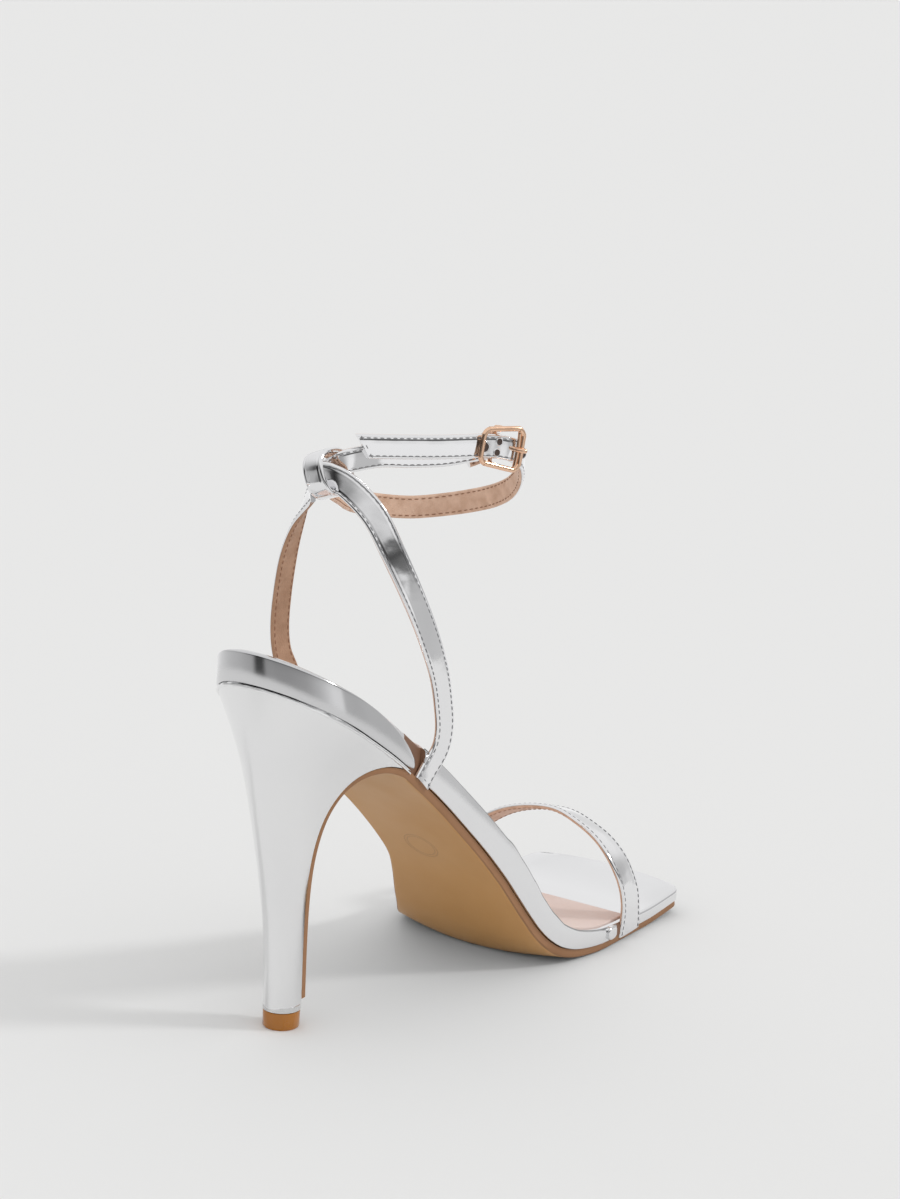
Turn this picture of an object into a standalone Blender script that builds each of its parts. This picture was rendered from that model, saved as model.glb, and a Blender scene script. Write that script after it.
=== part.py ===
"""Strappy heeled sandal, right shoe.

X runs from the heel to the toe, Y to the inner (medial) side, Z up.  The
floor is at Z = 0 and the origin is the centre of the top piece's floor face.
Lengths are metres.
"""

import math

import bmesh
import bpy
import numpy as np
from mathutils import Matrix, Vector

# Driving sizes of the last and the sole
PLAN_LENGTH = 0.2070
SEAT_WIDTH = 0.0510
BALL_WIDTH = 0.0764
SEAT_HEIGHT = 0.1120
TOE_SPRING = 0.0032
TOE_CORNER = 0.0042
TOE_BULGE = 0.0052
OUTSOLE_THICKNESS = 0.0027
OUTSOLE_INSET = 0.0007
BALL_CROWN = 0.0042
FLAP_THICKNESS = 0.0011
EDGE_AT_HEEL = 0.0086
EDGE_AT_TOE = 0.0036
EDGE_ROUND = 0.0011
SOCK_THICKNESS = 0.0012
SOCK_MARGIN = 0.0016
RAND_THICKNESS = 0.0016
RAND_OVERHANG = 0.0004

# Driving sizes of the heel
TIP_SETBACK = 0.0210
TIP_RADIUS = 0.0057
TIP_HEIGHT = 0.0056
TIP_FLAT = 0.0044
FLARE_LENGTH = 0.0145
FLAP_END_HEIGHT = 0.0087

# Driving sizes of the straps
STRAP_THICKNESS = 0.0016
TOE_STRAP_WIDTH = 0.0120
BACK_STRAP_WIDTH = 0.0080
ANKLE_STRAP_WIDTH = 0.0075
TOE_STRAP_RISE = 0.0400
LOOP_HEIGHT = 0.0148
LOOP_DEPTH = 0.0155
LOOP_WIDTH = 0.0075
LOOP_TILT = -20.0
LOOP_SQUARENESS = 0.75
LOOP_DROP = 0.0011
LOOP_FORWARD = 0.0008
LOOP_SETBACK = 0.0209
LOOP_CENTRE_HEIGHT = 0.1726

# Driving sizes of the buckle
BUCKLE_LENGTH = 0.0158
BUCKLE_HEIGHT = 0.0135
BUCKLE_TAPER = 0.0010
BUCKLE_CORNER = 0.0026
WIRE_RADIUS = 0.00085
BAR_RADIUS = 0.00065
PRONG_RADIUS = 0.00075
PRONG_HOLE = 0.0026

# Clearance between pieces that meet
GAP = 0.0003

# Length of the step in the insole's edge behind the back straps
INSET_RAMP = 0.0004

# Fall of the heel's seat to its breast along the shoe, as a share of the plan
# length, and the share of an outline's steps that the round back takes
HEEL_SEAT_END = 0.235
SEAT_ARC_SHARE = 0.72
COLUMN_ARC_SHARE = 0.60
FLARE_POWER = 1.3
BREAST_NARROWING = 0.75
BREAST_OVERLAP = 0.0015

# How far the cutters run past the pieces that they cut
CUTTER_MARGIN = 0.0200

# Widths of the last: share of the plan length, then the outer and the inner
# half width as shares of the seat width (rows with ball 0) or ball width (1)
LAST_ROWS = (
    # along, lateral, medial, ball
    (0.121, 0.500, 0.502, 0.0),
    (0.193, 0.508, 0.496, 0.0),
    (0.266, 0.486, 0.443, 0.0),
    (0.362, 0.484, 0.345, 0.0),
    (0.459, 0.353, 0.224, 1.0),
    (0.556, 0.414, 0.331, 1.0),
    (0.638, 0.467, 0.467, 1.0),
    (0.715, 0.482, 0.518, 1.0),
    (0.787, 0.469, 0.493, 1.0),
    (0.860, 0.456, 0.441, 1.0),
    (0.925, 0.449, 0.378, 1.0),
    (1.000, 0.446, 0.325, 1.0),
)

# Side profile of the underside of the insole: share of the plan length, share
# of the seat height above the tread, share of the toe spring
PROFILE_ROWS = (
    # along, rise, spring
    (0.000, 1.0000, 0.0),
    (0.097, 0.8866, 0.0),
    (0.193, 0.7700, 0.0),
    (0.290, 0.6386, 0.0),
    (0.387, 0.4850, 0.0),
    (0.483, 0.2955, 0.0),
    (0.512, 0.2230, 0.0),
    (0.541, 0.1500, 0.0),
    (0.560, 0.1060, 0.0),
    (0.585, 0.0610, 0.0),
    (0.609, 0.0320, 0.0),
    (0.645, 0.0110, 0.0),
    (0.680, 0.0030, 0.0),
    (0.715, 0.0000, 0.0),
    (0.850, 0.0000, 0.0),
    (1.000, 0.0000, 1.0),
)

# Thickness of the insole's edge: share of the plan length, share of the way
# from the edge at the heel to the edge at the toe
EDGE_ROWS = (
    # along, thinning
    (0.00, 0.00),
    (0.30, 0.02),
    (0.50, 0.05),
    (0.58, 0.13),
    (0.65, 0.44),
    (0.71, 0.70),
    (0.80, 0.87),
    (1.00, 1.00),
)

# Crown of the outsole under the ball: share of the plan length, share of the
# crown's depth
CROWN_ROWS = (
    # along, depth
    (0.47, 0.00),
    (0.53, 0.25),
    (0.57, 0.70),
    (0.60, 1.00),
    (0.63, 0.75),
    (0.67, 0.30),
    (0.71, 0.00),
)

# Column of the heel: share of the seat height, then the back, the centre and
# the half width as shares of the seat width
COLUMN_ROWS = (
    # rise, back, centre, half_width
    (0.00, 0.300, 0.410, 0.110),
    (0.12, 0.290, 0.404, 0.112),
    (0.27, 0.270, 0.392, 0.116),
    (0.41, 0.220, 0.366, 0.125),
    (0.55, 0.152, 0.335, 0.140),
    (0.70, 0.080, 0.300, 0.160),
    (0.85, 0.024, 0.270, 0.184),
    (1.00, 0.000, 0.250, 0.208),
)

# Breast of the heel: share of the plan length from the seat's back, depth
# below the insole as a share of the seat height
BREAST_ROWS = (
    # along, depth
    (0.2420, 0.000),
    (0.2130, 0.014),
    (0.1840, 0.038),
    (0.1570, 0.081),
    (0.1375, 0.143),
    (0.1250, 0.232),
    (0.1195, 0.340),
    (0.1170, 0.500),
    (0.1175, 0.650),
    (0.1200, 0.860),
)

# Places of the straps on the edge of the insole, as shares of plan length
TOE_STRAP_ALONG = 0.794
BACK_STRAP_ALONG = 0.262
RAND_END_ALONG = 0.228
SOCK_END_ALONG = 0.802

# Middle line of the toe strap: place across as a share of the half width on
# that side, height as a share of the rise, set forward as a share of its width
TOE_STRAP_ROWS = (
    # across, rise, forward
    (-1.000, 0.00, 0.10),
    (-1.018, 0.20, 0.05),
    (-1.030, 0.42, -0.10),
    (-0.960, 0.66, -0.30),
    (-0.780, 0.84, -0.32),
    (-0.520, 0.95, -0.25),
    (-0.220, 1.00, -0.10),
    (0.130, 0.96, 0.00),
    (0.440, 0.86, 0.05),
    (0.700, 0.70, 0.05),
    (0.890, 0.50, 0.02),
    (0.990, 0.30, 0.00),
    (1.010, 0.14, 0.00),
    (1.000, 0.00, 0.00),
)

# Middle lines of the back straps: place along from the strap's place on the
# edge as a share of the seat height, place across as a share of the seat
# width, height as a share of the way from the edge to the loop, and how much
# the face turns to the back
LATERAL_ROWS = (
    # along, across, height, back_turn
    (-0.025, -0.500, -0.060, 0.05),
    (0.034, -0.503, 0.015, 0.05),
    (0.076, -0.526, 0.085, 0.08),
    (0.081, -0.543, 0.160, 0.10),
    (0.055, -0.564, 0.255, 0.12),
    (0.015, -0.591, 0.350, 0.15),
    (-0.027, -0.604, 0.435, 0.18),
    (-0.070, -0.586, 0.540, 0.26),
    (-0.114, -0.541, 0.655, 0.38),
    (-0.151, -0.462, 0.775, 0.55),
    (-0.171, -0.356, 0.880, 0.80),
    (-0.188, -0.200, 0.955, 1.30),
    (-0.202, -0.075, 0.985, 1.80),
    (-0.243, 0.010, 1.000, 1.80),
)
MEDIAL_ROWS = (
    # along, across, height, back_turn
    (-0.025, 0.450, -0.060, 0.00),
    (0.004, 0.452, 0.015, 0.00),
    (0.022, 0.474, 0.090, -0.02),
    (0.013, 0.505, 0.175, -0.04),
    (-0.010, 0.540, 0.260, -0.06),
    (-0.032, 0.566, 0.330, -0.08),
    (-0.043, 0.571, 0.420, -0.10),
    (-0.047, 0.552, 0.535, -0.10),
    (-0.059, 0.498, 0.660, -0.08),
    (-0.082, 0.415, 0.755, 0.00),
    (-0.114, 0.301, 0.845, 0.30),
    (-0.161, 0.165, 0.915, 1.00),
    (-0.217, 0.060, 0.940, 2.20),
)

# Ring of the ankle strap, from the tail round the front to the loop: shares of
# the seat height forward of the loop's centre, to the side of it and above it
RING_ROWS = (
    # forward, side, height
    (0.052, -0.058, 0.067),
    (0.152, -0.112, 0.061),
    (0.263, -0.172, 0.056),
    (0.367, -0.228, 0.055),
    (0.429, -0.257, 0.050),
    (0.478, -0.275, 0.037),
    (0.536, -0.264, 0.008),
    (0.598, -0.222, -0.050),
    (0.658, -0.156, -0.105),
    (0.704, -0.076, -0.146),
    (0.728, 0.010, -0.177),
    (0.713, 0.105, -0.203),
    (0.657, 0.185, -0.216),
    (0.572, 0.235, -0.207),
    (0.467, 0.243, -0.184),
    (0.357, 0.203, -0.152),
    (0.238, 0.138, -0.113),
    (0.122, 0.080, -0.073),
    (0.050, 0.052, -0.042),
)
TAIL_LIFT = 0.0030
BUCKLE_ROW = 4.02

# Centre bar of the buckle: share of the half height, and share of the way out
# from the bar's level to the frame's
BAR_ROWS = (
    # upward, outward
    (-1.00, 1.00),
    (-1.00, 0.45),
    (-0.93, 0.10),
    (-0.80, 0.00),
    (0.80, 0.00),
    (0.93, 0.10),
    (1.00, 0.45),
    (1.00, 1.00),
)

# Bend of the ankle strap through the loop
BACK_BEND_RADIUS = 0.0060
BACK_BEND_FORWARD = 0.0078
BACK_BEND_LIFT = -0.0004
BACK_BEND_SLOPE = -0.68

COLOURS = {
    # name: base colour, metallic, roughness
    "silver": ((0.80, 0.80, 0.81), 1.0, 0.08),
    "tan": ((0.42, 0.22, 0.09), 0.0, 0.40),
    "amber": ((0.50, 0.20, 0.05), 0.0, 0.25),
    "beige": ((0.78, 0.56, 0.47), 0.0, 0.60),
    "gold": ((0.86, 0.62, 0.42), 1.0, 0.18),
}


def monotone_curve(places, values):
    """Smooth curve through a table that never overshoots its rows."""
    places = np.asarray(places, float)
    values = np.asarray(values, float)
    steps = np.diff(places)
    slopes = np.diff(values) / steps
    tangents = np.zeros(len(places))
    tangents[0] = slopes[0]
    tangents[-1] = slopes[-1]
    for row in range(1, len(places) - 1):
        before, after = slopes[row - 1], slopes[row]
        if before * after > 0.0:
            weight_before = 2.0 * steps[row] + steps[row - 1]
            weight_after = steps[row] + 2.0 * steps[row - 1]
            total = weight_before + weight_after
            tangents[row] = total / (weight_before / before + weight_after / after)

    def curve(place):
        place = min(max(place, places[0]), places[-1])
        row = min(int(np.searchsorted(places, place, side="right")) - 1, len(steps) - 1)
        step = steps[row]
        t = (place - places[row]) / step
        value = (2 * t**3 - 3 * t**2 + 1) * values[row]
        value += (t**3 - 2 * t**2 + t) * step * tangents[row]
        value += (-2 * t**3 + 3 * t**2) * values[row + 1]
        value += (t**3 - t**2) * step * tangents[row + 1]
        return float(value)

    return curve


def row_width(row):
    return BALL_WIDTH if row[3] > 0.5 else SEAT_WIDTH


along_places = [row[0] * PLAN_LENGTH for row in LAST_ROWS]
lateral_curve = monotone_curve(along_places, [row[1] * row_width(row) for row in LAST_ROWS])
medial_curve = monotone_curve(along_places, [row[2] * row_width(row) for row in LAST_ROWS])
TREAD_HEIGHT = OUTSOLE_THICKNESS + GAP
profile_curve = monotone_curve(
    [row[0] * PLAN_LENGTH for row in PROFILE_ROWS],
    [
        TREAD_HEIGHT + row[1] * (SEAT_HEIGHT - TREAD_HEIGHT) + row[2] * TOE_SPRING
        for row in PROFILE_ROWS
    ],
)
edge_curve = monotone_curve(
    [row[0] * PLAN_LENGTH for row in EDGE_ROWS],
    [EDGE_AT_HEEL + row[1] * (EDGE_AT_TOE - EDGE_AT_HEEL) for row in EDGE_ROWS],
)
crown_curve = monotone_curve(
    [row[0] * PLAN_LENGTH for row in CROWN_ROWS],
    [row[1] * BALL_CROWN for row in CROWN_ROWS],
)
heights = [row[0] * SEAT_HEIGHT for row in COLUMN_ROWS]
column_back = monotone_curve(heights, [row[1] * SEAT_WIDTH for row in COLUMN_ROWS])
column_centre = monotone_curve(heights, [row[2] * SEAT_WIDTH for row in COLUMN_ROWS])
column_half = monotone_curve(heights, [row[3] * SEAT_WIDTH for row in COLUMN_ROWS])

SEAT_RADIUS = LAST_ROWS[0][0] * PLAN_LENGTH
TOE_END = PLAN_LENGTH - TOE_BULGE


def round_end(place):
    """Share of the full width left by the round heel end."""
    if place >= SEAT_RADIUS:
        return 1.0
    return math.sqrt(max(0.0, 1.0 - ((SEAT_RADIUS - place) / SEAT_RADIUS) ** 2))


def corner_loss(place):
    """Width lost on each side to the round corners of the square toe."""
    into = place - (TOE_END - TOE_CORNER)
    if into <= 0.0:
        return 0.0
    into = min(into, TOE_CORNER)
    return TOE_CORNER - math.sqrt(TOE_CORNER**2 - into**2)


def half_widths(place):
    """Half widths of the last's outline at a place along the shoe."""
    share = round_end(place)
    loss = corner_loss(place)
    return lateral_curve(place) * share - loss, medial_curve(place) * share - loss


def profile_slope(place):
    small = 0.0005
    return (profile_curve(place + small) - profile_curve(place - small)) / (2 * small)


def upright(thickness, place):
    """Upright thickness of a layer that is this thick across the slope."""
    return thickness * math.sqrt(1.0 + profile_slope(place) ** 2)


def toe_shift(place, across, half):
    """Forward bulge of the toe's front edge at a place across."""
    into = min(max((place - 0.80 * TOE_END) / (0.20 * TOE_END), 0.0), 1.0)
    return TOE_BULGE * into**2 * (1.0 - (across / max(half, 1e-6)) ** 2)


def clear_scene():
    for obj in list(bpy.data.objects):
        bpy.data.objects.remove(obj, do_unlink=True)


def material(name):
    found = bpy.data.materials.get(name)
    if found:
        return found
    made = bpy.data.materials.new(name)
    made.use_nodes = True
    shader = made.node_tree.nodes["Principled BSDF"]
    colour, metallic, roughness = COLOURS[name]
    shader.inputs["Base Color"].default_value = (*colour, 1.0)
    shader.inputs["Metallic"].default_value = metallic
    shader.inputs["Roughness"].default_value = roughness
    made.diffuse_color = (*colour, 1.0)
    return made


def from_seat(point):
    """Place measured from the seat's back, in the shoe's own frame."""
    return (point[0] - TIP_SETBACK, point[1], point[2])


def add_mesh(name, vertices, faces, look=None):
    mesh = bpy.data.meshes.new(name)
    mesh.from_pydata([from_seat(vertex) for vertex in vertices], [], faces)
    facing = bmesh.new()
    facing.from_mesh(mesh)
    if facing.calc_volume(signed=True) < 0.0:
        bmesh.ops.reverse_faces(facing, faces=facing.faces)
    facing.to_mesh(mesh)
    facing.free()
    made = bpy.data.objects.new(name, mesh)
    bpy.context.scene.collection.objects.link(made)
    if look:
        made.data.materials.append(material(look))
    return made


def end_strips(start, count, backwards):
    """Faces that close a loop by strips between its two halves."""
    faces = []
    for index in range(count // 2):
        far = count - 1 - index
        if index + 1 > far - 1:
            break
        corners = [index, index + 1, far - 1, far]
        if index + 1 == far - 1:
            corners = [index, index + 1, far]
        face = [start + corner for corner in corners]
        faces.append(tuple(reversed(face)) if backwards else tuple(face))
    return faces


def loft(name, loops, look=None, closed=False, strips=True):
    """Skin between loops of equal count, with flat ends unless it closes."""
    count = len(loops[0])
    vertices = [point for loop in loops for point in loop]
    faces = []
    rows = len(loops) if closed else len(loops) - 1
    for row in range(rows):
        start = row * count
        after = ((row + 1) % len(loops)) * count
        for index in range(count):
            turn = (index + 1) % count
            faces.append((start + index, start + turn, after + turn, after + index))
    last = (len(loops) - 1) * count
    if not closed and strips:
        faces += end_strips(0, count, True)
        faces += end_strips(last, count, False)
    elif not closed:
        faces.append(tuple(reversed(range(count))))
        faces.append(tuple(range(last, last + count)))
    return add_mesh(name, vertices, faces, look)


def subtract(target, cutter):
    cut = target.modifiers.new("cut", "BOOLEAN")
    cut.operation = "DIFFERENCE"
    cut.solver = "EXACT"
    cut.object = cutter
    cutter.hide_render = True
    cutter.display_type = "WIRE"


def unite(target, other):
    join = target.modifiers.new("join", "BOOLEAN")
    join.operation = "UNION"
    join.solver = "EXACT"
    join.object = other
    other.hide_render = True
    other.display_type = "WIRE"


def side_prism(name, outline, half):
    """Cutter with an outline in the XZ plane, run across the shoe."""
    loops = [[(x, side, z) for x, z in outline] for side in (-half, half)]
    return loft(name, loops, strips=False)


def stations(first, last, steps, fine_ends=True):
    """Places along the shoe, closer together at both ends."""
    places = []
    for step in range(steps + 1):
        share = step / steps
        if fine_ends:
            share = 0.6 * share + 0.4 * (0.5 - 0.5 * math.cos(math.pi * share))
        places.append(first + share * (last - first))
    return places


def layer_section(place, half_left, half_right, low, high, rounding):
    """Closed section of a flat layer, with rounded upper edges."""
    shoulder = 0.3 * rounding
    left_edge = ((-half_left, rounding), (-half_left + shoulder, shoulder))
    upper = [(across, high - drop) for across, drop in left_edge]
    upper.append((-half_left + rounding, high))
    upper += [(-share * half_left, high) for share in (0.75, 0.5, 0.25)]
    upper.append((0.0, high))
    upper += [(share * half_right, high) for share in (0.25, 0.5, 0.75)]
    upper.append((half_right - rounding, high))
    upper.append((half_right - shoulder, high - shoulder))
    upper.append((half_right, high - rounding))
    lower = [(across, low) for across, _ in reversed(upper)]
    points = []
    for across, height in upper + lower:
        half = half_left if across < 0 else half_right
        points.append((place + toe_shift(place, across, half), across, height))
    return points


def strap_inset():
    return STRAP_THICKNESS + GAP - RAND_OVERHANG


def rear_inset(place):
    """How far the rear of the insole is set in for the rand."""
    end = BACK_STRAP_ALONG * PLAN_LENGTH + 0.25 * BACK_STRAP_WIDTH
    return strap_inset() * min(max((end - place) / INSET_RAMP, 0.0), 1.0)


def insole_widths(place):
    left, right = half_widths(place)
    inset = rear_inset(place)
    if place < SEAT_RADIUS:
        depth = SEAT_RADIUS - inset
        share = math.sqrt(max(1e-4, 1.0 - ((SEAT_RADIUS - place) / depth) ** 2))
        return (lateral_curve(place) - inset) * share, (medial_curve(place) - inset) * share
    return left - inset, right - inset


def insole_places():
    start = strap_inset() + GAP
    step_end = BACK_STRAP_ALONG * PLAN_LENGTH + 0.25 * BACK_STRAP_WIDTH
    places = stations(start, TOE_END - 0.0002, 44)
    return sorted(places + [step_end - INSET_RAMP, step_end])


def make_insole():
    loops = []
    for place in insole_places():
        left, right = insole_widths(place)
        low = profile_curve(place) + 0.5 * GAP
        high = low + upright(edge_curve(place), place)
        rounding = min(EDGE_ROUND, 0.3 * min(left, right))
        loops.append(layer_section(place, left, right, low, high, rounding))
    insole = loft("insole", loops, "silver")
    room = 2.0 * GAP
    straps = {"toe": toe_strap_shape(), "lateral": lateral_shape(), "medial": medial_shape()}
    for name, (points, normals, widths) in straps.items():
        widths = [width + room for width in widths]
        notch = ribbon(name + "_notch", points, normals, widths, STRAP_THICKNESS + room, None, 3)
        subtract(insole, notch)
    return insole


def insole_top(place):
    return profile_curve(place) + 0.5 * GAP + upright(edge_curve(place), place)


def make_sock():
    start = strap_inset() + SOCK_MARGIN + GAP
    end = SOCK_END_ALONG * PLAN_LENGTH
    loops = []
    places = [place for place in insole_places() if start + SOCK_MARGIN < place < end]
    for place in [start, start + 0.3 * SOCK_MARGIN, *places, end]:
        depth = SEAT_RADIUS - strap_inset() - SOCK_MARGIN
        share = 1.0
        if place < SEAT_RADIUS:
            share = math.sqrt(max(1e-4, 1.0 - ((SEAT_RADIUS - place) / depth) ** 2))
        left = (lateral_curve(place) - strap_inset() - SOCK_MARGIN) * share
        right = (medial_curve(place) - strap_inset() - SOCK_MARGIN) * share
        low = insole_top(place) + GAP
        high = low + upright(SOCK_THICKNESS, place)
        rounding = min(0.4 * SOCK_THICKNESS, 0.3 * min(left, right))
        loops.append(layer_section(place, left, right, low, high, rounding))
    return loft("sock", loops, "beige")


def rand_path(steps):
    """Outline of the seat from the lateral to the medial end of the rand."""
    end = RAND_END_ALONG * PLAN_LENGTH
    path = []
    for step in range(-steps, steps + 1):
        turn = step / steps
        side = -1.0 if turn < 0 else 1.0
        curve = lateral_curve if turn < 0 else medial_curve
        reach = abs(turn)
        if reach < SEAT_ARC_SHARE:
            angle = 0.5 * math.pi * reach / SEAT_ARC_SHARE
            place = SEAT_RADIUS * (1.0 - math.cos(angle))
            width = curve(SEAT_RADIUS) * math.sin(angle)
            outward = (-math.cos(angle), side * math.sin(angle))
        else:
            rest = (reach - SEAT_ARC_SHARE) / (1.0 - SEAT_ARC_SHARE)
            place = SEAT_RADIUS + (end - SEAT_RADIUS) * rest
            width = curve(place)
            outward = (0.0, side)
        path.append((place, side * width, outward))
    return path


def make_rand():
    """Covered strip around the rear edge, with its front ends rounded off."""
    loops = []
    path = rand_path(26)
    count = len(path) - 1
    for index, (place, across, outward) in enumerate(path):
        near_end = min(index, count - index)
        taper = (0.52, 0.80, 0.94, 1.0)[min(near_end, 3)]
        low = profile_curve(place) + 0.5 * GAP
        high = low + upright(edge_curve(place), place) * 0.985
        middle = 0.5 * (low + high)
        low = middle + (low - middle) * taper
        high = middle + (high - middle) * taper
        outer = RAND_OVERHANG
        inner = RAND_OVERHANG - RAND_THICKNESS
        soft = 0.25 * RAND_THICKNESS
        cross = (
            (inner, low),
            (outer - soft, low),
            (outer, low + soft),
            (outer, high - soft),
            (outer - soft, high),
            (inner, high),
        )
        loop = []
        for offset, height in cross:
            loop.append((place + outward[0] * offset, across + outward[1] * offset, height))
        loops.append(loop)
    return loft("heel_rand", loops, "silver")


def breast_points(steps):
    """Inner line of the outsole from the arch down the heel's breast."""
    rows = []
    for along, depth in BREAST_ROWS:
        place = along * PLAN_LENGTH
        rows.append((place, profile_curve(place) - 0.5 * GAP - depth * SEAT_HEIGHT))
    rows[-1] = (rows[-1][0], FLAP_END_HEIGHT)
    slope = profile_slope(rows[0][0])
    before = (rows[0][0] + 0.008, rows[0][1] + 0.008 * slope)
    after = (rows[-1][0] + 0.0003, rows[-1][1] - 0.02)
    return catmull([before, *rows, after], steps)


def catmull(points, steps):
    """Even samples of a smooth curve between the second and last-but-one point."""
    points = [np.asarray(point, float) for point in points]
    line = []
    for row in range(1, len(points) - 2):
        a, b, c, d = points[row - 1 : row + 3]
        for step in range(steps):
            t = step / steps
            line.append(
                0.5
                * (
                    2 * b
                    + (c - a) * t
                    + (2 * a - 5 * b + 4 * c - d) * t**2
                    + (3 * b - a - 3 * c + d) * t**3
                )
            )
    line.append(points[-2])
    return line


def flare(depth):
    """Share of the seat's outline left at a depth below the insole."""
    return math.exp(-((max(depth, 0.0) / FLARE_LENGTH) ** FLARE_POWER))


def column_front():
    return BREAST_ROWS[-1][0] * PLAN_LENGTH


def column_point(share, height):
    """Point of the column's outline; share runs -1 lateral front, 0 back, 1 medial."""
    back = column_back(height)
    centre = column_centre(height)
    half = column_half(height)
    side = -1.0 if share < 0 else 1.0
    reach = abs(share)
    if reach <= COLUMN_ARC_SHARE:
        angle = 0.5 * math.pi * reach / COLUMN_ARC_SHARE
        return centre - (centre - back) * math.cos(angle), side * half * math.sin(angle)
    front = (reach - COLUMN_ARC_SHARE) / (1.0 - COLUMN_ARC_SHARE)
    place = centre + (column_front() + BREAST_OVERLAP - centre) * front
    return place, side * half * math.sqrt(1.0 - (BREAST_NARROWING * front) ** 2)


def seat_point(share):
    """Point of the seat's outline that goes with a point of the column."""
    side = -1.0 if share < 0 else 1.0
    curve = lateral_curve if share < 0 else medial_curve
    reach = abs(share)
    if reach <= COLUMN_ARC_SHARE:
        angle = 0.5 * math.pi * reach / COLUMN_ARC_SHARE
        place = SEAT_RADIUS * (1.0 - math.cos(angle))
        return place, side * curve(SEAT_RADIUS) * math.sin(angle)
    front = (reach - COLUMN_ARC_SHARE) / (1.0 - COLUMN_ARC_SHARE)
    place = SEAT_RADIUS + (HEEL_SEAT_END * PLAN_LENGTH - SEAT_RADIUS) * front
    return place, side * curve(place)


def heel_point(share, height):
    seat_x, seat_y = seat_point(share)
    top = profile_curve(seat_x) - 0.5 * GAP
    top_x, top_y = column_point(share, top)
    here_x, here_y = column_point(share, height)
    left = flare(top - height)
    return here_x + (seat_x - top_x) * left, here_y + (seat_y - top_y) * left


def heel_half_at(place, height, side):
    """Half width of the heel's side wall at a place on its breast."""
    low, high = 0.9 * COLUMN_ARC_SHARE, 1.0
    for _ in range(24):
        middle = 0.5 * (low + high)
        if heel_point(side * middle, height)[0] < place:
            low = middle
        else:
            high = middle
    return abs(heel_point(side * low, height)[1])


def make_heel():
    sides, rounds = 5, 8
    shares = [COLUMN_ARC_SHARE * step / rounds for step in range(rounds)]
    shares += [1.0 - (1.0 - COLUMN_ARC_SHARE) * step / sides for step in range(sides, -1, -1)]
    shares = [-share for share in reversed(shares[1:])] + shares
    bottom = TIP_HEIGHT + GAP
    steps = 14
    loops = []
    for step in range(steps):
        drop = (step / (steps - 1)) ** 1.4
        loop = []
        for share in shares:
            top = profile_curve(seat_point(share)[0]) - 0.5 * GAP
            height = top + (bottom - top) * drop
            place, across = heel_point(share, height)
            loop.append((place, across, height))
        loops.append(loop)
    body = loft("heel", loops, "silver")
    line = breast_points(3)
    outline = [tuple(point) for point in offset_line(line, [-GAP] * len(line))]
    outline.append((outline[-1][0], -CUTTER_MARGIN))
    outline.append((0.5 * PLAN_LENGTH, -CUTTER_MARGIN))
    outline.append((0.5 * PLAN_LENGTH, outline[0][1]))
    subtract(body, side_prism("breast_cutter", outline, SEAT_WIDTH))
    return body


def offset_line(line, distances):
    """Line moved across itself, positive to the outside of the sole."""
    moved = []
    for index, point in enumerate(line):
        before = np.asarray(line[max(index - 1, 0)])
        after = np.asarray(line[min(index + 1, len(line) - 1)])
        step = after - before
        step /= np.linalg.norm(step)
        outward = np.array((-step[1], step[0]))
        moved.append(np.asarray(point) + outward * distances[index])
    return moved


def make_outsole():
    """Sole from the toe to the arch, then down the breast as a thin flap."""
    start = BREAST_ROWS[0][0] * PLAN_LENGTH
    rows = []
    for place in reversed(stations(start + 0.002, TOE_END - 0.0004, 34)):
        left, right = half_widths(place)
        height = profile_curve(place) - 0.5 * GAP
        inset = OUTSOLE_INSET
        rows.append(((place, height), left - inset, right - inset, OUTSOLE_THICKNESS))
    line = breast_points(3)
    length = len(line) - 1
    for index, point in enumerate(line):
        share = index / length
        left = heel_half_at(point[0], point[1], -1.0)
        right = heel_half_at(point[0], point[1], 1.0)
        if index == 0:
            left, right = half_widths(point[0])
            left -= OUTSOLE_INSET
            right -= OUTSOLE_INSET
        left_thick = max(0.0, 1.0 - 3.0 * share) ** 2
        thickness = FLAP_THICKNESS + (OUTSOLE_THICKNESS - FLAP_THICKNESS) * left_thick
        rows.append((tuple(point), left, right, thickness))
    centre = [row[0] for row in rows]
    outer = offset_line(centre, [row[3] for row in rows])
    loops = []
    for (inner, left, right, _), under in zip(rows, outer):
        loop = []
        spread = [share * left for share in (-1.0, -0.8, -0.55, -0.3)]
        spread += [share * right for share in (0.0, 0.3, 0.55, 0.8, 1.0)]
        for across in spread:
            half = left if across < 0 else right
            shift = toe_shift(inner[0], across, half)
            loop.append((inner[0] + shift, across, inner[1]))
        for across in reversed(spread):
            half = left if across < 0 else right
            shift = toe_shift(inner[0], across, half)
            crown = crown_curve(inner[0]) * (1.0 - (across / half) ** 2)
            loop.append((under[0] + shift, across, max(under[1] - crown, 0.0)))
        loops.append(loop)
    return loft("outsole", loops, "tan")


def make_top_piece():
    loops = []
    levels = ((0.0, 0.96), (0.1, 1.0), (0.93, 1.02), (1.0, 1.0))
    for height, swell in [(share * TIP_HEIGHT, swell) for share, swell in levels]:
        loop = []
        for step in range(28):
            angle = 2 * math.pi * step / 28
            x = TIP_RADIUS * swell * math.cos(angle)
            y = TIP_RADIUS * swell * math.sin(angle)
            loop.append((TIP_SETBACK + min(x, TIP_FLAT * swell), y, height))
        loops.append(loop)
    return loft("top_piece", loops, "amber")


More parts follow.
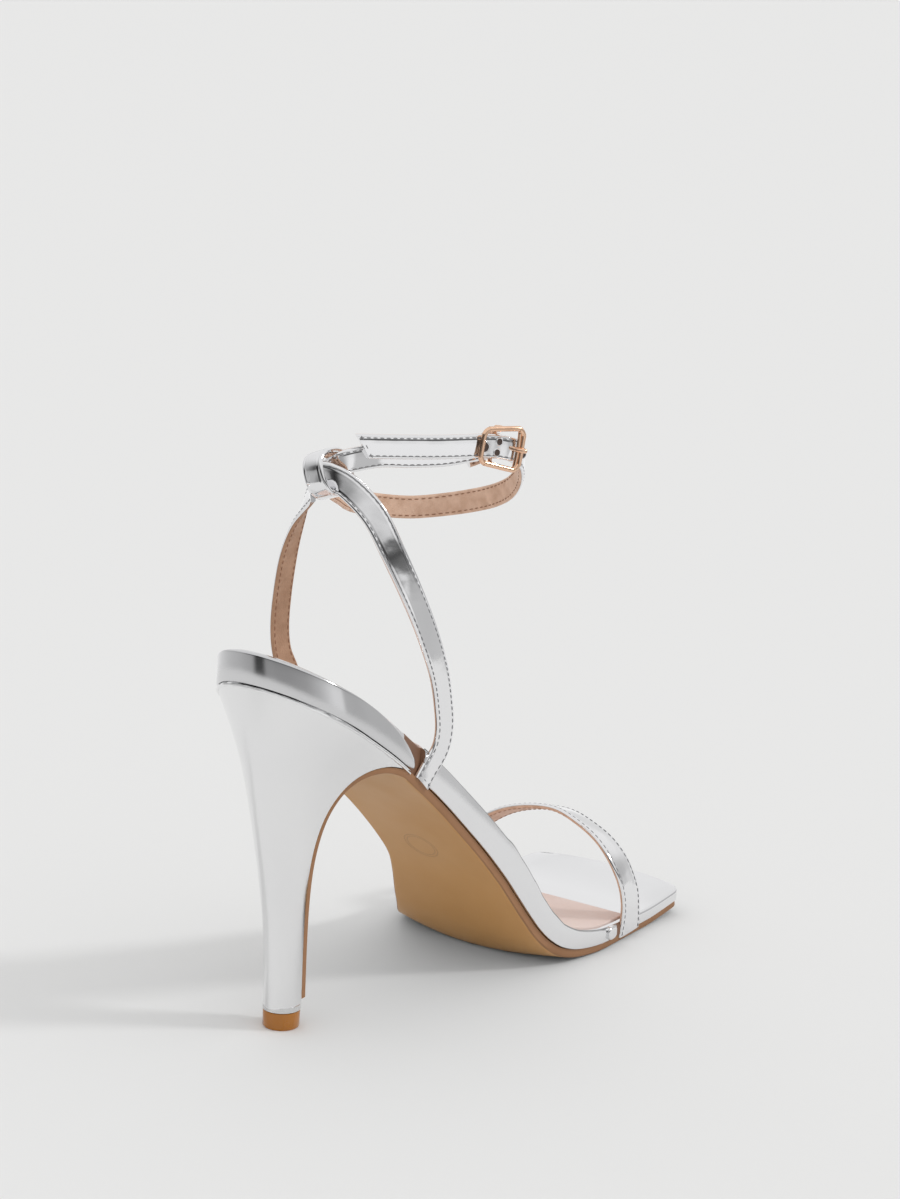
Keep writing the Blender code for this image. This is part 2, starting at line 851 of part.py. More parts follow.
def ribbon(name, points, normals, widths, thickness, look, steps=4):
    """Band with rounded edges along a smooth curve through the points."""
    first = 2 * np.asarray(points[0]) - np.asarray(points[1])
    last = 2 * np.asarray(points[-1]) - np.asarray(points[-2])
    line = catmull([first, *points, last], steps)
    faces_to = catmull([normals[0], *normals, normals[-1]], steps)
    spans = catmull([(widths[0],), *[(width,) for width in widths], (widths[-1],)], steps)
    loops = []
    for index, point in enumerate(line):
        before = Vector(line[max(index - 1, 0)])
        after = Vector(line[min(index + 1, len(line) - 1)])
        along = (after - before).normalized()
        face = Vector(faces_to[index])
        face = (face - along * face.dot(along)).normalized()
        side = along.cross(face)
        half = 0.5 * float(spans[index][0])
        deep = 0.5 * thickness
        soft = 0.3 * thickness
        cross = (
            (half, deep - soft),
            (half - soft, deep),
            (-half + soft, deep),
            (-half, deep - soft),
            (-half, -deep + soft),
            (-half + soft, -deep),
            (half - soft, -deep),
            (half, -deep + soft),
        )
        middle = Vector(point)
        loops.append([tuple(middle + side * a + face * b) for a, b in cross])
    return loft(name, loops, look)


def under_insole_cutter():
    """Everything below the underside of the insole."""
    outline = []
    for place in stations(-CUTTER_MARGIN, PLAN_LENGTH + CUTTER_MARGIN, 60, fine_ends=False):
        outline.append((place, profile_curve(place) + 0.5 * GAP))
    outline.append((PLAN_LENGTH + CUTTER_MARGIN, -CUTTER_MARGIN))
    outline.append((-CUTTER_MARGIN, -CUTTER_MARGIN))
    return side_prism("under_insole_cutter", outline, BALL_WIDTH)


def edge_offset():
    """Middle of a strap's thickness from the last's outline."""
    return 0.5 * STRAP_THICKNESS + GAP - strap_inset()


def toe_strap_shape():
    place = TOE_STRAP_ALONG * PLAN_LENGTH
    left, right = half_widths(place)
    offset = edge_offset()
    base = profile_curve(place) - 2.0 * STRAP_THICKNESS
    points = []
    normals = []
    for across, rise, forward in TOE_STRAP_ROWS:
        half = left if across < 0 else right
        y = across * (half + offset)
        z = base + rise * (TOE_STRAP_RISE - base)
        points.append((place + forward * TOE_STRAP_WIDTH, y, z))
        bow = math.atan2(rise * 1.2, abs(across) + 0.02)
        normals.append((0.0, math.copysign(math.cos(bow), across), math.sin(bow)))
    return points, normals, [TOE_STRAP_WIDTH] * len(points)


def make_toe_strap(cutter):
    points, normals, widths = toe_strap_shape()
    strap = ribbon("toe_strap", points, normals, widths, STRAP_THICKNESS, "silver", 3)
    subtract(strap, cutter)
    return strap


def strap_points(rows, side):
    """Places and facings of one back strap."""
    place = BACK_STRAP_ALONG * PLAN_LENGTH
    base = profile_curve(place)
    left, right = half_widths(place)
    half = left if side < 0 else right
    anchor = side * (half + edge_offset())
    first_across = rows[1][1] * SEAT_WIDTH
    points = []
    normals = []
    for along, across, height, back_turn in rows:
        x = place + along * SEAT_HEIGHT
        y = anchor + (across * SEAT_WIDTH - first_across)
        z = base + height * (LOOP_CENTRE_HEIGHT - base)
        points.append((x, y, z))
        normals.append((-back_turn, side, 0.12 * back_turn))
    return points, normals


def loop_centre():
    """Centre of the loop at the back of the ankle."""
    return BACK_STRAP_ALONG * PLAN_LENGTH - LOOP_SETBACK, 0.0, LOOP_CENTRE_HEIGHT


def make_loop():
    """Flattened ring of strap that the ankle strap runs through."""
    centre_x, centre_y, centre_z = loop_centre()
    half_x = 0.5 * (LOOP_DEPTH - STRAP_THICKNESS)
    half_z = 0.5 * (LOOP_HEIGHT - STRAP_THICKNESS)
    loops = []
    for step in range(28):
        angle = 2 * math.pi * step / 28
        cos, sin = math.cos(angle), math.sin(angle)
        x = half_x * math.copysign(abs(cos) ** LOOP_SQUARENESS, cos)
        z = half_z * math.copysign(abs(sin) ** LOOP_SQUARENESS, sin)
        outward = Vector((cos / half_x, 0.0, sin / half_z)).normalized()
        deep = 0.5 * STRAP_THICKNESS
        soft = 0.3 * STRAP_THICKNESS
        half = 0.5 * LOOP_WIDTH
        cross = (
            (half, -deep),
            (half, deep - soft),
            (half - soft, deep),
            (-half + soft, deep),
            (-half, deep - soft),
            (-half, -deep),
        )
        tilt = Matrix.Rotation(math.radians(LOOP_TILT), 3, "X")
        middle = Vector((centre_x + LOOP_FORWARD, centre_y, centre_z - LOOP_DROP))
        loop = []
        for a, b in cross:
            loop.append(tuple(middle + tilt @ (Vector((x, a, z)) + outward * b)))
        loops.append(loop)
    return loft("loop_form", loops, "silver", closed=True)


def lateral_shape():
    points, normals = strap_points(LATERAL_ROWS, -1.0)
    return points, normals, [BACK_STRAP_WIDTH] * (len(points) - 1) + [0.8 * BACK_STRAP_WIDTH]


def medial_shape():
    points, normals = strap_points(MEDIAL_ROWS, 1.0)
    return points, normals, [BACK_STRAP_WIDTH] * (len(points) - 1) + [0.8 * BACK_STRAP_WIDTH]


def make_back_strap(cutter):
    strap = ribbon("back_strap", *lateral_shape(), STRAP_THICKNESS, "silver", 3)
    medial = ribbon("medial_form", *medial_shape(), STRAP_THICKNESS, "silver", 3)
    subtract(medial, cutter)
    subtract(strap, cutter)
    unite(strap, make_loop())
    unite(strap, medial)
    return strap


def ring_point(row_place):
    """Point of the ring's middle line and its outward side."""
    rows = [np.array(row) * SEAT_HEIGHT for row in RING_ROWS]
    row = min(int(row_place), len(rows) - 2)
    t = row_place - row
    a = rows[max(row - 1, 0)]
    b = rows[row]
    c = rows[row + 1]
    d = rows[min(row + 2, len(rows) - 1)]
    bend = 2 * a - 5 * b + 4 * c - d
    twist = 3 * b - a - 3 * c + d
    point = 0.5 * (2 * b + (c - a) * t + bend * t**2 + twist * t**3)
    slope = 0.5 * ((c - a) + 2 * bend * t + 3 * twist * t**2)
    outward = Vector((slope[1], -slope[0], 0.0)).normalized()
    return Vector(loop_centre()) + Vector(point), outward


def buckle_frame_axes():
    """Centre of the buckle, with its long, upright and outward directions."""
    centre, _ = ring_point(BUCKLE_ROW)
    before, _ = ring_point(BUCKLE_ROW - 0.35)
    after, _ = ring_point(BUCKLE_ROW + 0.35)
    along = (after - before).normalized()
    outward = along.cross(Vector((0.0, 0.0, 1.0))).normalized()
    upright_axis = outward.cross(along).normalized()
    return centre, along, upright_axis, outward


def band_pitch():
    return STRAP_THICKNESS + GAP


def bar_offset():
    """Depth of the centre bar under the middle of the tail."""
    return -(band_pitch() + 0.5 * STRAP_THICKNESS + GAP + BAR_RADIUS)


def make_ankle_strap():
    """Band from the fold at the bar through the loop, around and to the tail."""
    centre, along, _, outward = buckle_frame_axes()
    pitch = band_pitch()
    bar = bar_offset()
    turn = BAR_RADIUS + GAP + 0.5 * STRAP_THICKNESS
    points = []
    normals = []

    def place(row_place, offset, lift):
        point, out = ring_point(row_place)
        points.append(tuple(point + out * offset + Vector((0, 0, lift))))
        normals.append(tuple(out))

    inner = bar - turn
    fold_rows = ((0.95, 0.0), (0.6, 0.35), (0.25, 0.9))
    for back, share in fold_rows:
        offset = -2.0 * pitch + (inner + 2.0 * pitch) * share
        place(BUCKLE_ROW - back, offset, -0.4 * TAIL_LIFT * (1.0 - share))
        normals[-1] = tuple(-Vector(normals[-1]))
    for angle in (-90, -45, 0, 45, 90):
        bend = math.radians(angle)
        reach = along * (turn * math.cos(bend)) + outward * (bar + turn * math.sin(bend))
        points.append(tuple(centre + reach))
        normals.append(tuple(along * math.cos(bend) + outward * math.sin(bend)))
    for back in (0.5, 1.0, 1.8, 2.6, 3.3):
        place(BUCKLE_ROW - back, -pitch, -TAIL_LIFT * min(back / 2.0, 1.0))
    centre_x, centre_y, centre_z = loop_centre()
    for angle in (238, 208, 180, 150, 120):
        bend = math.radians(angle)
        x = centre_x + BACK_BEND_FORWARD + BACK_BEND_RADIUS * math.cos(bend)
        y = centre_y + BACK_BEND_RADIUS * math.sin(bend)
        points.append((x, y, centre_z + BACK_BEND_LIFT + BACK_BEND_SLOPE * y))
        normals.append((math.cos(bend), math.sin(bend), 0.0))
    for row_place in range(len(RING_ROWS) - 2, 4, -1):
        place(float(row_place), 0.0, 0.0)
    for row_place in (4.6, BUCKLE_ROW, 3.6, 3.0, 2.0, 1.0, 0.2):
        place(row_place, 0.0, 0.0)
    widths = [ANKLE_STRAP_WIDTH] * len(points)
    return ribbon("ankle_strap", points, normals, widths, STRAP_THICKNESS, "silver", 3)


def wire_loop(name, points, radius, look, closed, sides=8):
    """Round wire through the points."""
    count = len(points)
    loops = []
    for index, point in enumerate(points):
        if closed:
            before = points[index - 1]
            after = points[(index + 1) % count]
        else:
            before = points[max(index - 1, 0)]
            after = points[min(index + 1, count - 1)]
        along = (Vector(after) - Vector(before)).normalized()
        helper = Vector((0.13, 0.21, 0.97))
        side = along.cross(helper).normalized()
        other = along.cross(side).normalized()
        loop = []
        for step in range(sides):
            angle = 2 * math.pi * step / sides
            offset = side * math.cos(angle) + other * math.sin(angle)
            loop.append(tuple(Vector(point) + offset * radius))
        loops.append(loop)
    return loft(name, loops, look, closed=closed)


def make_buckle():
    centre, along, upward, outward = buckle_frame_axes()
    level = 0.5 * STRAP_THICKNESS + GAP + WIRE_RADIUS
    half_length = 0.5 * BUCKLE_LENGTH - WIRE_RADIUS
    half_height = 0.5 * BUCKLE_HEIGHT - WIRE_RADIUS
    corner = BUCKLE_CORNER
    outline = []
    for turn_x, turn_z, start in ((1, 1, 0), (-1, 1, 90), (-1, -1, 180), (1, -1, 270)):
        for step in range(5):
            angle = math.radians(start + 90 * step / 4)
            taper = BUCKLE_TAPER * turn_x * 0.5
            x = turn_x * (half_length - corner) + corner * math.cos(angle)
            z = turn_z * (half_height + taper - corner) + corner * math.sin(angle)
            outline.append(tuple(centre + along * x + upward * z + outward * level))
    frame = wire_loop("buckle_frame", outline, WIRE_RADIUS, "gold", True)
    bar = bar_offset()
    bar_line = []
    for share_up, share_out in BAR_ROWS:
        depth = bar + (level - bar) * share_out
        bar_line.append(tuple(centre + upward * (half_height * share_up) + outward * depth))
    unite(frame, wire_loop("bar_form", bar_line, BAR_RADIUS, "gold", False))
    make_prong(half_length, level)
    return frame


def prong_hole_place(half_length):
    """Place of the prong's hole, forward of the centre bar."""
    return half_length - (WIRE_RADIUS + PRONG_RADIUS + GAP)


def make_prong(half_length, level):
    """Tongue from the fold, up through its hole and over the front bar."""
    centre, along, _, outward = buckle_frame_axes()
    bar = bar_offset()
    fold_front = BAR_RADIUS + 2.0 * GAP + STRAP_THICKNESS + PRONG_RADIUS
    hole = prong_hole_place(half_length)
    sweep = WIRE_RADIUS + PRONG_RADIUS + GAP
    route = [
        (fold_front, bar + 0.3 * STRAP_THICKNESS),
        (0.5 * (fold_front + hole), bar + 0.5 * STRAP_THICKNESS),
        (hole, bar + 1.1 * STRAP_THICKNESS),
        (hole, -0.2 * STRAP_THICKNESS),
    ]
    for angle in (180, 150, 120, 90, 68):
        bend = math.radians(angle)
        route.append((half_length + sweep * math.cos(bend), level + sweep * math.sin(bend)))
    line = [tuple(centre + along * x + outward * depth) for x, depth in route]
    return wire_loop("buckle_prong", line, PRONG_RADIUS, "gold", False)


def cut_prong_hole(strap):
    centre, along, _, outward = buckle_frame_axes()
    hole = prong_hole_place(0.5 * BUCKLE_LENGTH - WIRE_RADIUS)
    ends = []
    for depth in (-1.4, 0.0, 1.4):
        ends.append(tuple(centre + along * hole + outward * (depth * STRAP_THICKNESS)))
    cutter = wire_loop("prong_hole_form", ends, 0.5 * PRONG_HOLE, None, False)
    subtract(strap, cutter)


def build():
    clear_scene()
    cutter = under_insole_cutter()
    make_outsole()
    make_heel()
    make_top_piece()
    make_insole()
    make_sock()
    make_rand()
    make_toe_strap(cutter)
    make_back_strap(cutter)
    cut_prong_hole(make_ankle_strap())
    make_buckle()
    for obj in bpy.data.objects:
        if obj.type == "MESH" and not obj.hide_render:
            obj.data.shade_smooth()
            obj.data.set_sharp_from_angle(angle=math.radians(35))


build()
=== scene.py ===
import math

import bmesh
import bpy
import numpy as np
from mathutils import Matrix, Vector


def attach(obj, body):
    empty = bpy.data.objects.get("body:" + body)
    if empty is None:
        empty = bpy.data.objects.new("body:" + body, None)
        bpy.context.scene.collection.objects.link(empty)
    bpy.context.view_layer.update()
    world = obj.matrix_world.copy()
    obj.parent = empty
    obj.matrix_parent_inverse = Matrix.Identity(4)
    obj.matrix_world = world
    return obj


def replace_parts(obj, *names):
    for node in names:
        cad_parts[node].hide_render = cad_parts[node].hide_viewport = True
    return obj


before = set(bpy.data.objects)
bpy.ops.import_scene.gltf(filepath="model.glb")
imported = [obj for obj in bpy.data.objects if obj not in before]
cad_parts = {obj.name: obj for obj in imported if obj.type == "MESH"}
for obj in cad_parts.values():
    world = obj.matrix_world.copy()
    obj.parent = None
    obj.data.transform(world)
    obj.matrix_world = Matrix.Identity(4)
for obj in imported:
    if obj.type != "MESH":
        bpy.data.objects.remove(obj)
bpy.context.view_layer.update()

# The camera stands behind the outer side of the shoe, as in the photograph,
# a little above it and rolled by a few degrees.
CAMERA_AZIMUTH = -55.235
CAMERA_ELEVATION = 12.799
CAMERA_ROLL = -2.828
CAMERA_DISTANCE = 1.097
CAMERA_TARGET = (0.1626, 0.0573, 0.0993)
CAMERA_LENS = 93.13

azimuth = math.radians(CAMERA_AZIMUTH)
elevation = math.radians(CAMERA_ELEVATION)
roll = math.radians(CAMERA_ROLL)
view_back = Vector((
    math.sin(azimuth) * math.cos(elevation),
    -math.cos(azimuth) * math.cos(elevation),
    math.sin(elevation),
))
level_right = Vector((math.cos(azimuth), math.sin(azimuth), 0.0))
level_up = view_back.cross(level_right)
view_right = level_right * math.cos(roll) - level_up * math.sin(roll)
view_up = level_right * math.sin(roll) + level_up * math.cos(roll)
camera_data = bpy.data.cameras.new("camera")
camera_data.lens = CAMERA_LENS
camera_data.sensor_width = 36.0
camera_data.sensor_height = 36.0
camera_data.sensor_fit = "VERTICAL"
camera = bpy.data.objects.new("camera", camera_data)
place = Vector(CAMERA_TARGET) + view_back * CAMERA_DISTANCE
turn = Matrix((view_right, view_up, view_back)).transposed().to_4x4()
camera.matrix_world = Matrix.Translation(place) @ turn
bpy.context.scene.collection.objects.link(camera)
bpy.context.scene.camera = camera

# The studio is a pale floor that runs out of sight under one large soft light
# on the right.  The mirror foil shows the table's end and the darker gaps and
# panels of the room round it.
FLOOR_REACH = 16.0
FLOOR_COLOUR = (0.80, 0.80, 0.795)
TABLE_CENTRE = (0.0, 0.06, 0.0)
TABLE_RADII = (0.33, 0.42)
ROOM_LIGHT = 0.874
BACKDROP = 0.80
CEILING_RISE = (0.25, 0.60)
CEILING_LIGHT = 0.85
SOFTBOX_ANGLE = 9.0
SOFTBOX_POWER = 0.70
SOFTBOX_PLACE = (0.95, -1.35, 1.25)
# Panels round the horizon: share of a full turn, brightness
PANEL_ROWS = (
    (0.000, 0.34),
    (0.060, 0.36),
    (0.120, 0.42),
    (0.170, 0.60),
    (0.225, 0.90),
    (0.258, 0.90),
    (0.275, 0.56),
    (0.330, 0.54),
    (0.440, 0.60),
    (0.475, 0.85),
    (0.600, 0.95),
    (0.700, 0.80),
    (0.800, 0.60),
    (0.905, 0.45),
    (0.922, 0.07),
    (0.950, 0.07),
    (0.965, 0.36),
)
# How deep the dark band at the horizon is: share of a full turn, depth
BAND_ROWS = (
    (0.000, 1.00),
    (0.270, 1.00),
    (0.340, 0.22),
    (0.850, 0.22),
    (0.895, 1.00),
)
# Rows up the walls: share of the height from floor to ceiling, brightness
WALL_ROWS = (
    (0.000, 0.95),
    (0.440, 1.00),
    (0.485, 0.80),
    (0.515, 0.20),
    (0.570, 0.08),
    (0.600, 0.20),
    (0.640, 0.90),
    (0.720, 1.05),
    (0.860, 0.85),
)


def feed(tree, node, feeds):
    """Gives inputs of a node a value, a socket or another node's first output."""
    for key, value in feeds.items():
        if isinstance(value, bpy.types.Node):
            value = value.outputs[0]
        if isinstance(value, bpy.types.NodeSocket):
            tree.links.new(value, node.inputs[key])
        else:
            node.inputs[key].default_value = value


def add_node(tree, kind, feeds=None, **values):
    """Node of a tree with some of its own settings and inputs."""
    node = tree.nodes.new(kind)
    for key, value in values.items():
        setattr(node, key, value)
    feed(tree, node, feeds or {})
    return node


def grey(bright):
    return bright, bright, bright, 1.0


def value_ramp(tree, place, rows):
    """Colour ramp of greys through the rows of place and brightness."""
    ramp = add_node(tree, "ShaderNodeValToRGB", {0: place})
    stops = ramp.color_ramp.elements
    stops.remove(stops[1])
    stops[0].position = rows[0][0]
    stops[0].color = grey(rows[0][1])
    for where, bright in rows[1:]:
        stops.new(where).color = grey(bright)
    return ramp


def make_floor():
    mesh = bpy.data.meshes.new("floor")
    reach = FLOOR_REACH
    corners = [(-reach, -reach, 0.0), (reach, -reach, 0.0), (reach, reach, 0.0), (-reach, reach, 0.0)]
    mesh.from_pydata(corners, [], [(0, 1, 2, 3)])
    look = bpy.data.materials.new("floor_paper")
    look.use_nodes = True
    tree = look.node_tree
    shader = tree.nodes["Principled BSDF"]
    feed(tree, shader, {"Base Color": (*FLOOR_COLOUR, 1.0), "Roughness": 0.9, "Specular IOR Level": 0.1})
    where = add_node(tree, "ShaderNodeTexCoord").outputs["Object"]
    away = add_node(tree, "ShaderNodeVectorMath", {0: where, 1: TABLE_CENTRE}, operation="DISTANCE")
    edge = {"Value": away.outputs["Value"], "From Min": TABLE_RADII[0], "From Max": TABLE_RADII[1]}
    beyond = add_node(tree, "ShaderNodeMapRange", edge, interpolation_type="SMOOTHSTEP")
    glossy = add_node(tree, "ShaderNodeLightPath").outputs["Is Glossy Ray"]
    mirrored = add_node(tree, "ShaderNodeMath", {0: beyond, 1: glossy}, operation="MULTIPLY")
    clear = add_node(tree, "ShaderNodeBsdfTransparent")
    mix = add_node(tree, "ShaderNodeMixShader", {0: mirrored, 1: shader, 2: clear})
    feed(tree, tree.nodes["Material Output"], {"Surface": mix})
    mesh.materials.append(look)
    floor = bpy.data.objects.new("floor", mesh)
    bpy.context.scene.collection.objects.link(floor)


def make_room():
    world = bpy.data.worlds.new("room")
    bpy.context.scene.world = world
    world.use_nodes = True
    tree = world.node_tree
    tree.nodes.clear()
    direction = add_node(tree, "ShaderNodeTexCoord").outputs["Generated"]
    split = add_node(tree, "ShaderNodeSeparateXYZ", {0: direction}).outputs
    angle = add_node(tree, "ShaderNodeMath", {0: split["Y"], 1: split["X"]}, operation="ARCTAN2")
    share = add_node(tree, "ShaderNodeMath", {0: angle, 1: 0.5 / math.pi, 2: 0.5}, operation="MULTIPLY_ADD")
    rise = add_node(tree, "ShaderNodeMath", {0: split["Z"], 1: 0.5, 2: 0.5}, operation="MULTIPLY_ADD")
    panels = value_ramp(tree, share, PANEL_ROWS)
    walls = value_ramp(tree, rise, WALL_ROWS)
    depth = value_ramp(tree, share, BAND_ROWS)
    banded = add_node(tree, "ShaderNodeMixRGB", {"Fac": depth, "Color1": grey(1.0), "Color2": walls})
    both = add_node(tree, "ShaderNodeVectorMath", {0: panels, 1: banded}, operation="MULTIPLY")
    rows = {"Value": split["Z"], "From Min": CEILING_RISE[0], "From Max": CEILING_RISE[1]}
    ceiling = add_node(tree, "ShaderNodeMapRange", rows, interpolation_type="SMOOTHSTEP")
    lit = {"Fac": ceiling, "Color1": both, "Color2": grey(CEILING_LIGHT)}
    upper = add_node(tree, "ShaderNodeMixRGB", lit)
    ray = add_node(tree, "ShaderNodeLightPath").outputs
    mirrored = {"Fac": ray["Is Glossy Ray"], "Color1": grey(ROOM_LIGHT), "Color2": upper}
    room = add_node(tree, "ShaderNodeMixRGB", mirrored)
    behind = {"Fac": ray["Is Camera Ray"], "Color1": room, "Color2": grey(BACKDROP)}
    seen = add_node(tree, "ShaderNodeMixRGB", behind)
    light = add_node(tree, "ShaderNodeBackground", {"Color": seen})
    add_node(tree, "ShaderNodeOutputWorld", {0: light})


def make_softbox():
    data = bpy.data.lights.new("softbox", "SUN")
    data.angle = math.radians(SOFTBOX_ANGLE)
    data.energy = SOFTBOX_POWER
    softbox = bpy.data.objects.new("softbox", data)
    softbox.location = SOFTBOX_PLACE
    softbox.rotation_euler = (-Vector(SOFTBOX_PLACE)).to_track_quat("-Z", "Y").to_euler()
    bpy.context.scene.collection.objects.link(softbox)


bpy.context.scene.view_settings.view_transform = "Standard"
make_floor()
make_room()
make_softbox()

# The insole is a board with filler, wrapped in the silver foil from its side
# edge over a narrow rim on top; the sock is glued on inside that rim.  Every
# other piece takes its place from the insole's outline and side profile.
PLAN_LENGTH = 0.2070
SEAT_WIDTH = 0.0510
BALL_WIDTH = 0.0764
SEAT_HEIGHT = 0.1120
TOE_SPRING = 0.0032
TOE_CORNER = 0.0042
TOE_BULGE = 0.0052
OUTSOLE_THICKNESS = 0.0027
GAP = 0.0003
EDGE_AT_HEEL = 0.0086
EDGE_AT_TOE = 0.0036
EDGE_ROUND = 0.0012
EDGE_TURNS = 5
EDGE_SPANS = 8
SLOPE_STEP = 0.0005
TIP_SETBACK = 0.0210
STRAP_THICKNESS = 0.0016
RAND_OVERHANG = 0.0004
BACK_STRAP_ALONG = 0.262
BACK_STRAP_WIDTH = 0.0080
LAST_ROWS = (
    # along, lateral, medial, ball
    (0.121, 0.500, 0.502, 0.0),
    (0.193, 0.508, 0.496, 0.0),
    (0.266, 0.486, 0.443, 0.0),
    (0.362, 0.484, 0.345, 0.0),
    (0.459, 0.353, 0.224, 1.0),
    (0.556, 0.414, 0.331, 1.0),
    (0.638, 0.467, 0.467, 1.0),
    (0.715, 0.482, 0.518, 1.0),
    (0.787, 0.469, 0.493, 1.0),
    (0.860, 0.456, 0.441, 1.0),
    (0.925, 0.449, 0.378, 1.0),
    (1.000, 0.446, 0.325, 1.0),
)
PROFILE_ROWS = (
    # along, rise, spring
    (0.000, 1.0000, 0.0),
    (0.097, 0.8866, 0.0),
    (0.193, 0.7700, 0.0),
    (0.290, 0.6386, 0.0),
    (0.387, 0.4850, 0.0),
    (0.483, 0.2955, 0.0),
    (0.512, 0.2230, 0.0),
    (0.541, 0.1500, 0.0),
    (0.560, 0.1060, 0.0),
    (0.585, 0.0610, 0.0),
    (0.609, 0.0320, 0.0),
    (0.645, 0.0110, 0.0),
    (0.680, 0.0030, 0.0),
    (0.715, 0.0000, 0.0),
    (0.850, 0.0000, 0.0),
    (1.000, 0.0000, 1.0),
)
EDGE_ROWS = (
    # along, thinning
    (0.00, 0.00),
    (0.30, 0.02),
    (0.50, 0.05),
    (0.58, 0.13),
    (0.65, 0.44),
    (0.71, 0.70),
    (0.80, 0.87),
    (1.00, 1.00),
)
FOIL_COLOURS = ((0.80, 0.80, 0.81), (0.86, 0.86, 0.87))
# Bare brown edge of the insole, its dark tone partly painted shade in the gaps beside the straps.
BARE_EDGE_SHADE_COLOURS = ((0.16, 0.075, 0.04), (0.22, 0.11, 0.06))


def monotone_curve(places, values):
    """Smooth curve through a table that never overshoots its rows."""
    places = np.asarray(places, float)
    values = np.asarray(values, float)
    steps = np.diff(places)
    slopes = np.diff(values) / steps
    tangents = np.zeros(len(places))
    tangents[0] = slopes[0]
    tangents[-1] = slopes[-1]
    for row in range(1, len(places) - 1):
        before, after = slopes[row - 1], slopes[row]
        if before * after > 0.0:
            weight_before = 2.0 * steps[row] + steps[row - 1]
            weight_after = steps[row] + 2.0 * steps[row - 1]
            total = weight_before + weight_after
            tangents[row] = total / (weight_before / before + weight_after / after)

    def curve(place):
        place = min(max(place, places[0]), places[-1])
        row = min(int(np.searchsorted(places, place, side="right")) - 1, len(steps) - 1)
        step = steps[row]
        t = (place - places[row]) / step
        value = (2 * t**3 - 3 * t**2 + 1) * values[row]
        value += (t**3 - 2 * t**2 + t) * step * tangents[row]
        value += (-2 * t**3 + 3 * t**2) * values[row + 1]
        value += (t**3 - t**2) * step * tangents[row + 1]
        return float(value)

    return curve


def row_width(row):
    return BALL_WIDTH if row[3] > 0.5 else SEAT_WIDTH


last_places = [row[0] * PLAN_LENGTH for row in LAST_ROWS]
lateral_curve = monotone_curve(last_places, [row[1] * row_width(row) for row in LAST_ROWS])
medial_curve = monotone_curve(last_places, [row[2] * row_width(row) for row in LAST_ROWS])
TREAD_HEIGHT = OUTSOLE_THICKNESS + GAP
profile_curve = monotone_curve(
    [row[0] * PLAN_LENGTH for row in PROFILE_ROWS],
    [
        TREAD_HEIGHT + row[1] * (SEAT_HEIGHT - TREAD_HEIGHT) + row[2] * TOE_SPRING
        for row in PROFILE_ROWS
    ],
)
edge_curve = monotone_curve(
    [row[0] * PLAN_LENGTH for row in EDGE_ROWS],
    [EDGE_AT_HEEL + row[1] * (EDGE_AT_TOE - EDGE_AT_HEEL) for row in EDGE_ROWS],
)
SEAT_RADIUS = LAST_ROWS[0][0] * PLAN_LENGTH
TOE_END = PLAN_LENGTH - TOE_BULGE


def half_widths(place):
    """Half widths of the outline at a place along the shoe, outer and inner."""
    share = 1.0
    if place < SEAT_RADIUS:
        share = math.sqrt(max(0.0, 1.0 - ((SEAT_RADIUS - place) / SEAT_RADIUS) ** 2))
    into = min(max(place - (TOE_END - TOE_CORNER), 0.0), TOE_CORNER)
    loss = TOE_CORNER - math.sqrt(TOE_CORNER**2 - into**2)
    return lateral_curve(place) * share - loss, medial_curve(place) * share - loss


def profile_slope(place):
    inside = max(place, 2 * SLOPE_STEP)
    rise = profile_curve(inside + SLOPE_STEP) - profile_curve(inside - SLOPE_STEP)
    return rise / (2 * SLOPE_STEP)


def upright(thickness, place):
    """Upright thickness of a layer that is this thick across the slope."""
    return thickness * math.sqrt(1.0 + profile_slope(place) ** 2)


def toe_shift(place, across, half):
    """Forward bulge of the toe's front edge at a place across."""
    into = min(max((place - 0.80 * TOE_END) / (0.20 * TOE_END), 0.0), 1.0)
    return TOE_BULGE * into**2 * (1.0 - (across / max(half, 1e-6)) ** 2)


def piece_from_faces(name, vertices, faces, looks, look_of_face=None, sharp=40.0):
    """Closed smooth piece; places are measured from the back of the seat."""
    mesh = bpy.data.meshes.new(name)
    mesh.from_pydata([(x - TIP_SETBACK, y, z) for x, y, z in vertices], [], faces)
    for look in looks:
        mesh.materials.append(look)
    if look_of_face is not None:
        mesh.polygons.foreach_set("material_index", look_of_face)
    facing = bmesh.new()
    facing.from_mesh(mesh)
    if facing.calc_volume(signed=True) < 0.0:
        bmesh.ops.reverse_faces(facing, faces=facing.faces)
    facing.to_mesh(mesh)
    facing.free()
    mesh.shade_smooth()
    mesh.set_sharp_from_angle(angle=math.radians(sharp))
    piece = bpy.data.objects.new(name, mesh)
    bpy.context.scene.collection.objects.link(piece)
    return piece


def skin(name, loops, looks, closed=False, look_of=None, sharp=40.0):
    """Skin between loops of equal count, closed by strips at both ends."""
    count = len(loops[0])
    vertices = [point for loop in loops for point in loop]
    faces = []
    kinds = []
    for row in range(len(loops) if closed else len(loops) - 1):
        start = row * count
        after = ((row + 1) % len(loops)) * count
        for index in range(count):
            turn = (index + 1) % count
            faces.append((start + index, start + turn, after + turn, after + index))
            kinds.append(look_of(row, index) if look_of else 0)
    if not closed:
        last = (len(loops) - 1) * count
        for start, backwards in ((0, True), (last, False)):
            for index in range(count // 2):
                far = count - 1 - index
                if index + 1 > far - 1:
                    break
                corners = [start + index, start + index + 1, start + far - 1, start + far]
                if index + 1 == far - 1:
                    corners.pop(2)
                faces.append(tuple(reversed(corners)) if backwards else tuple(corners))
                kinds.append(look_of(0 if backwards else len(loops) - 2, index) if look_of else 0)
    return piece_from_faces(name, vertices, faces, looks, kinds, sharp)


def stations(first, last, steps):
    """Places along the shoe, closer together at both ends."""
    places = []
    for step in range(steps + 1):
        share = step / steps
        share = 0.6 * share + 0.4 * (0.5 - 0.5 * math.cos(math.pi * share))
        places.append(first + share * (last - first))
    return places


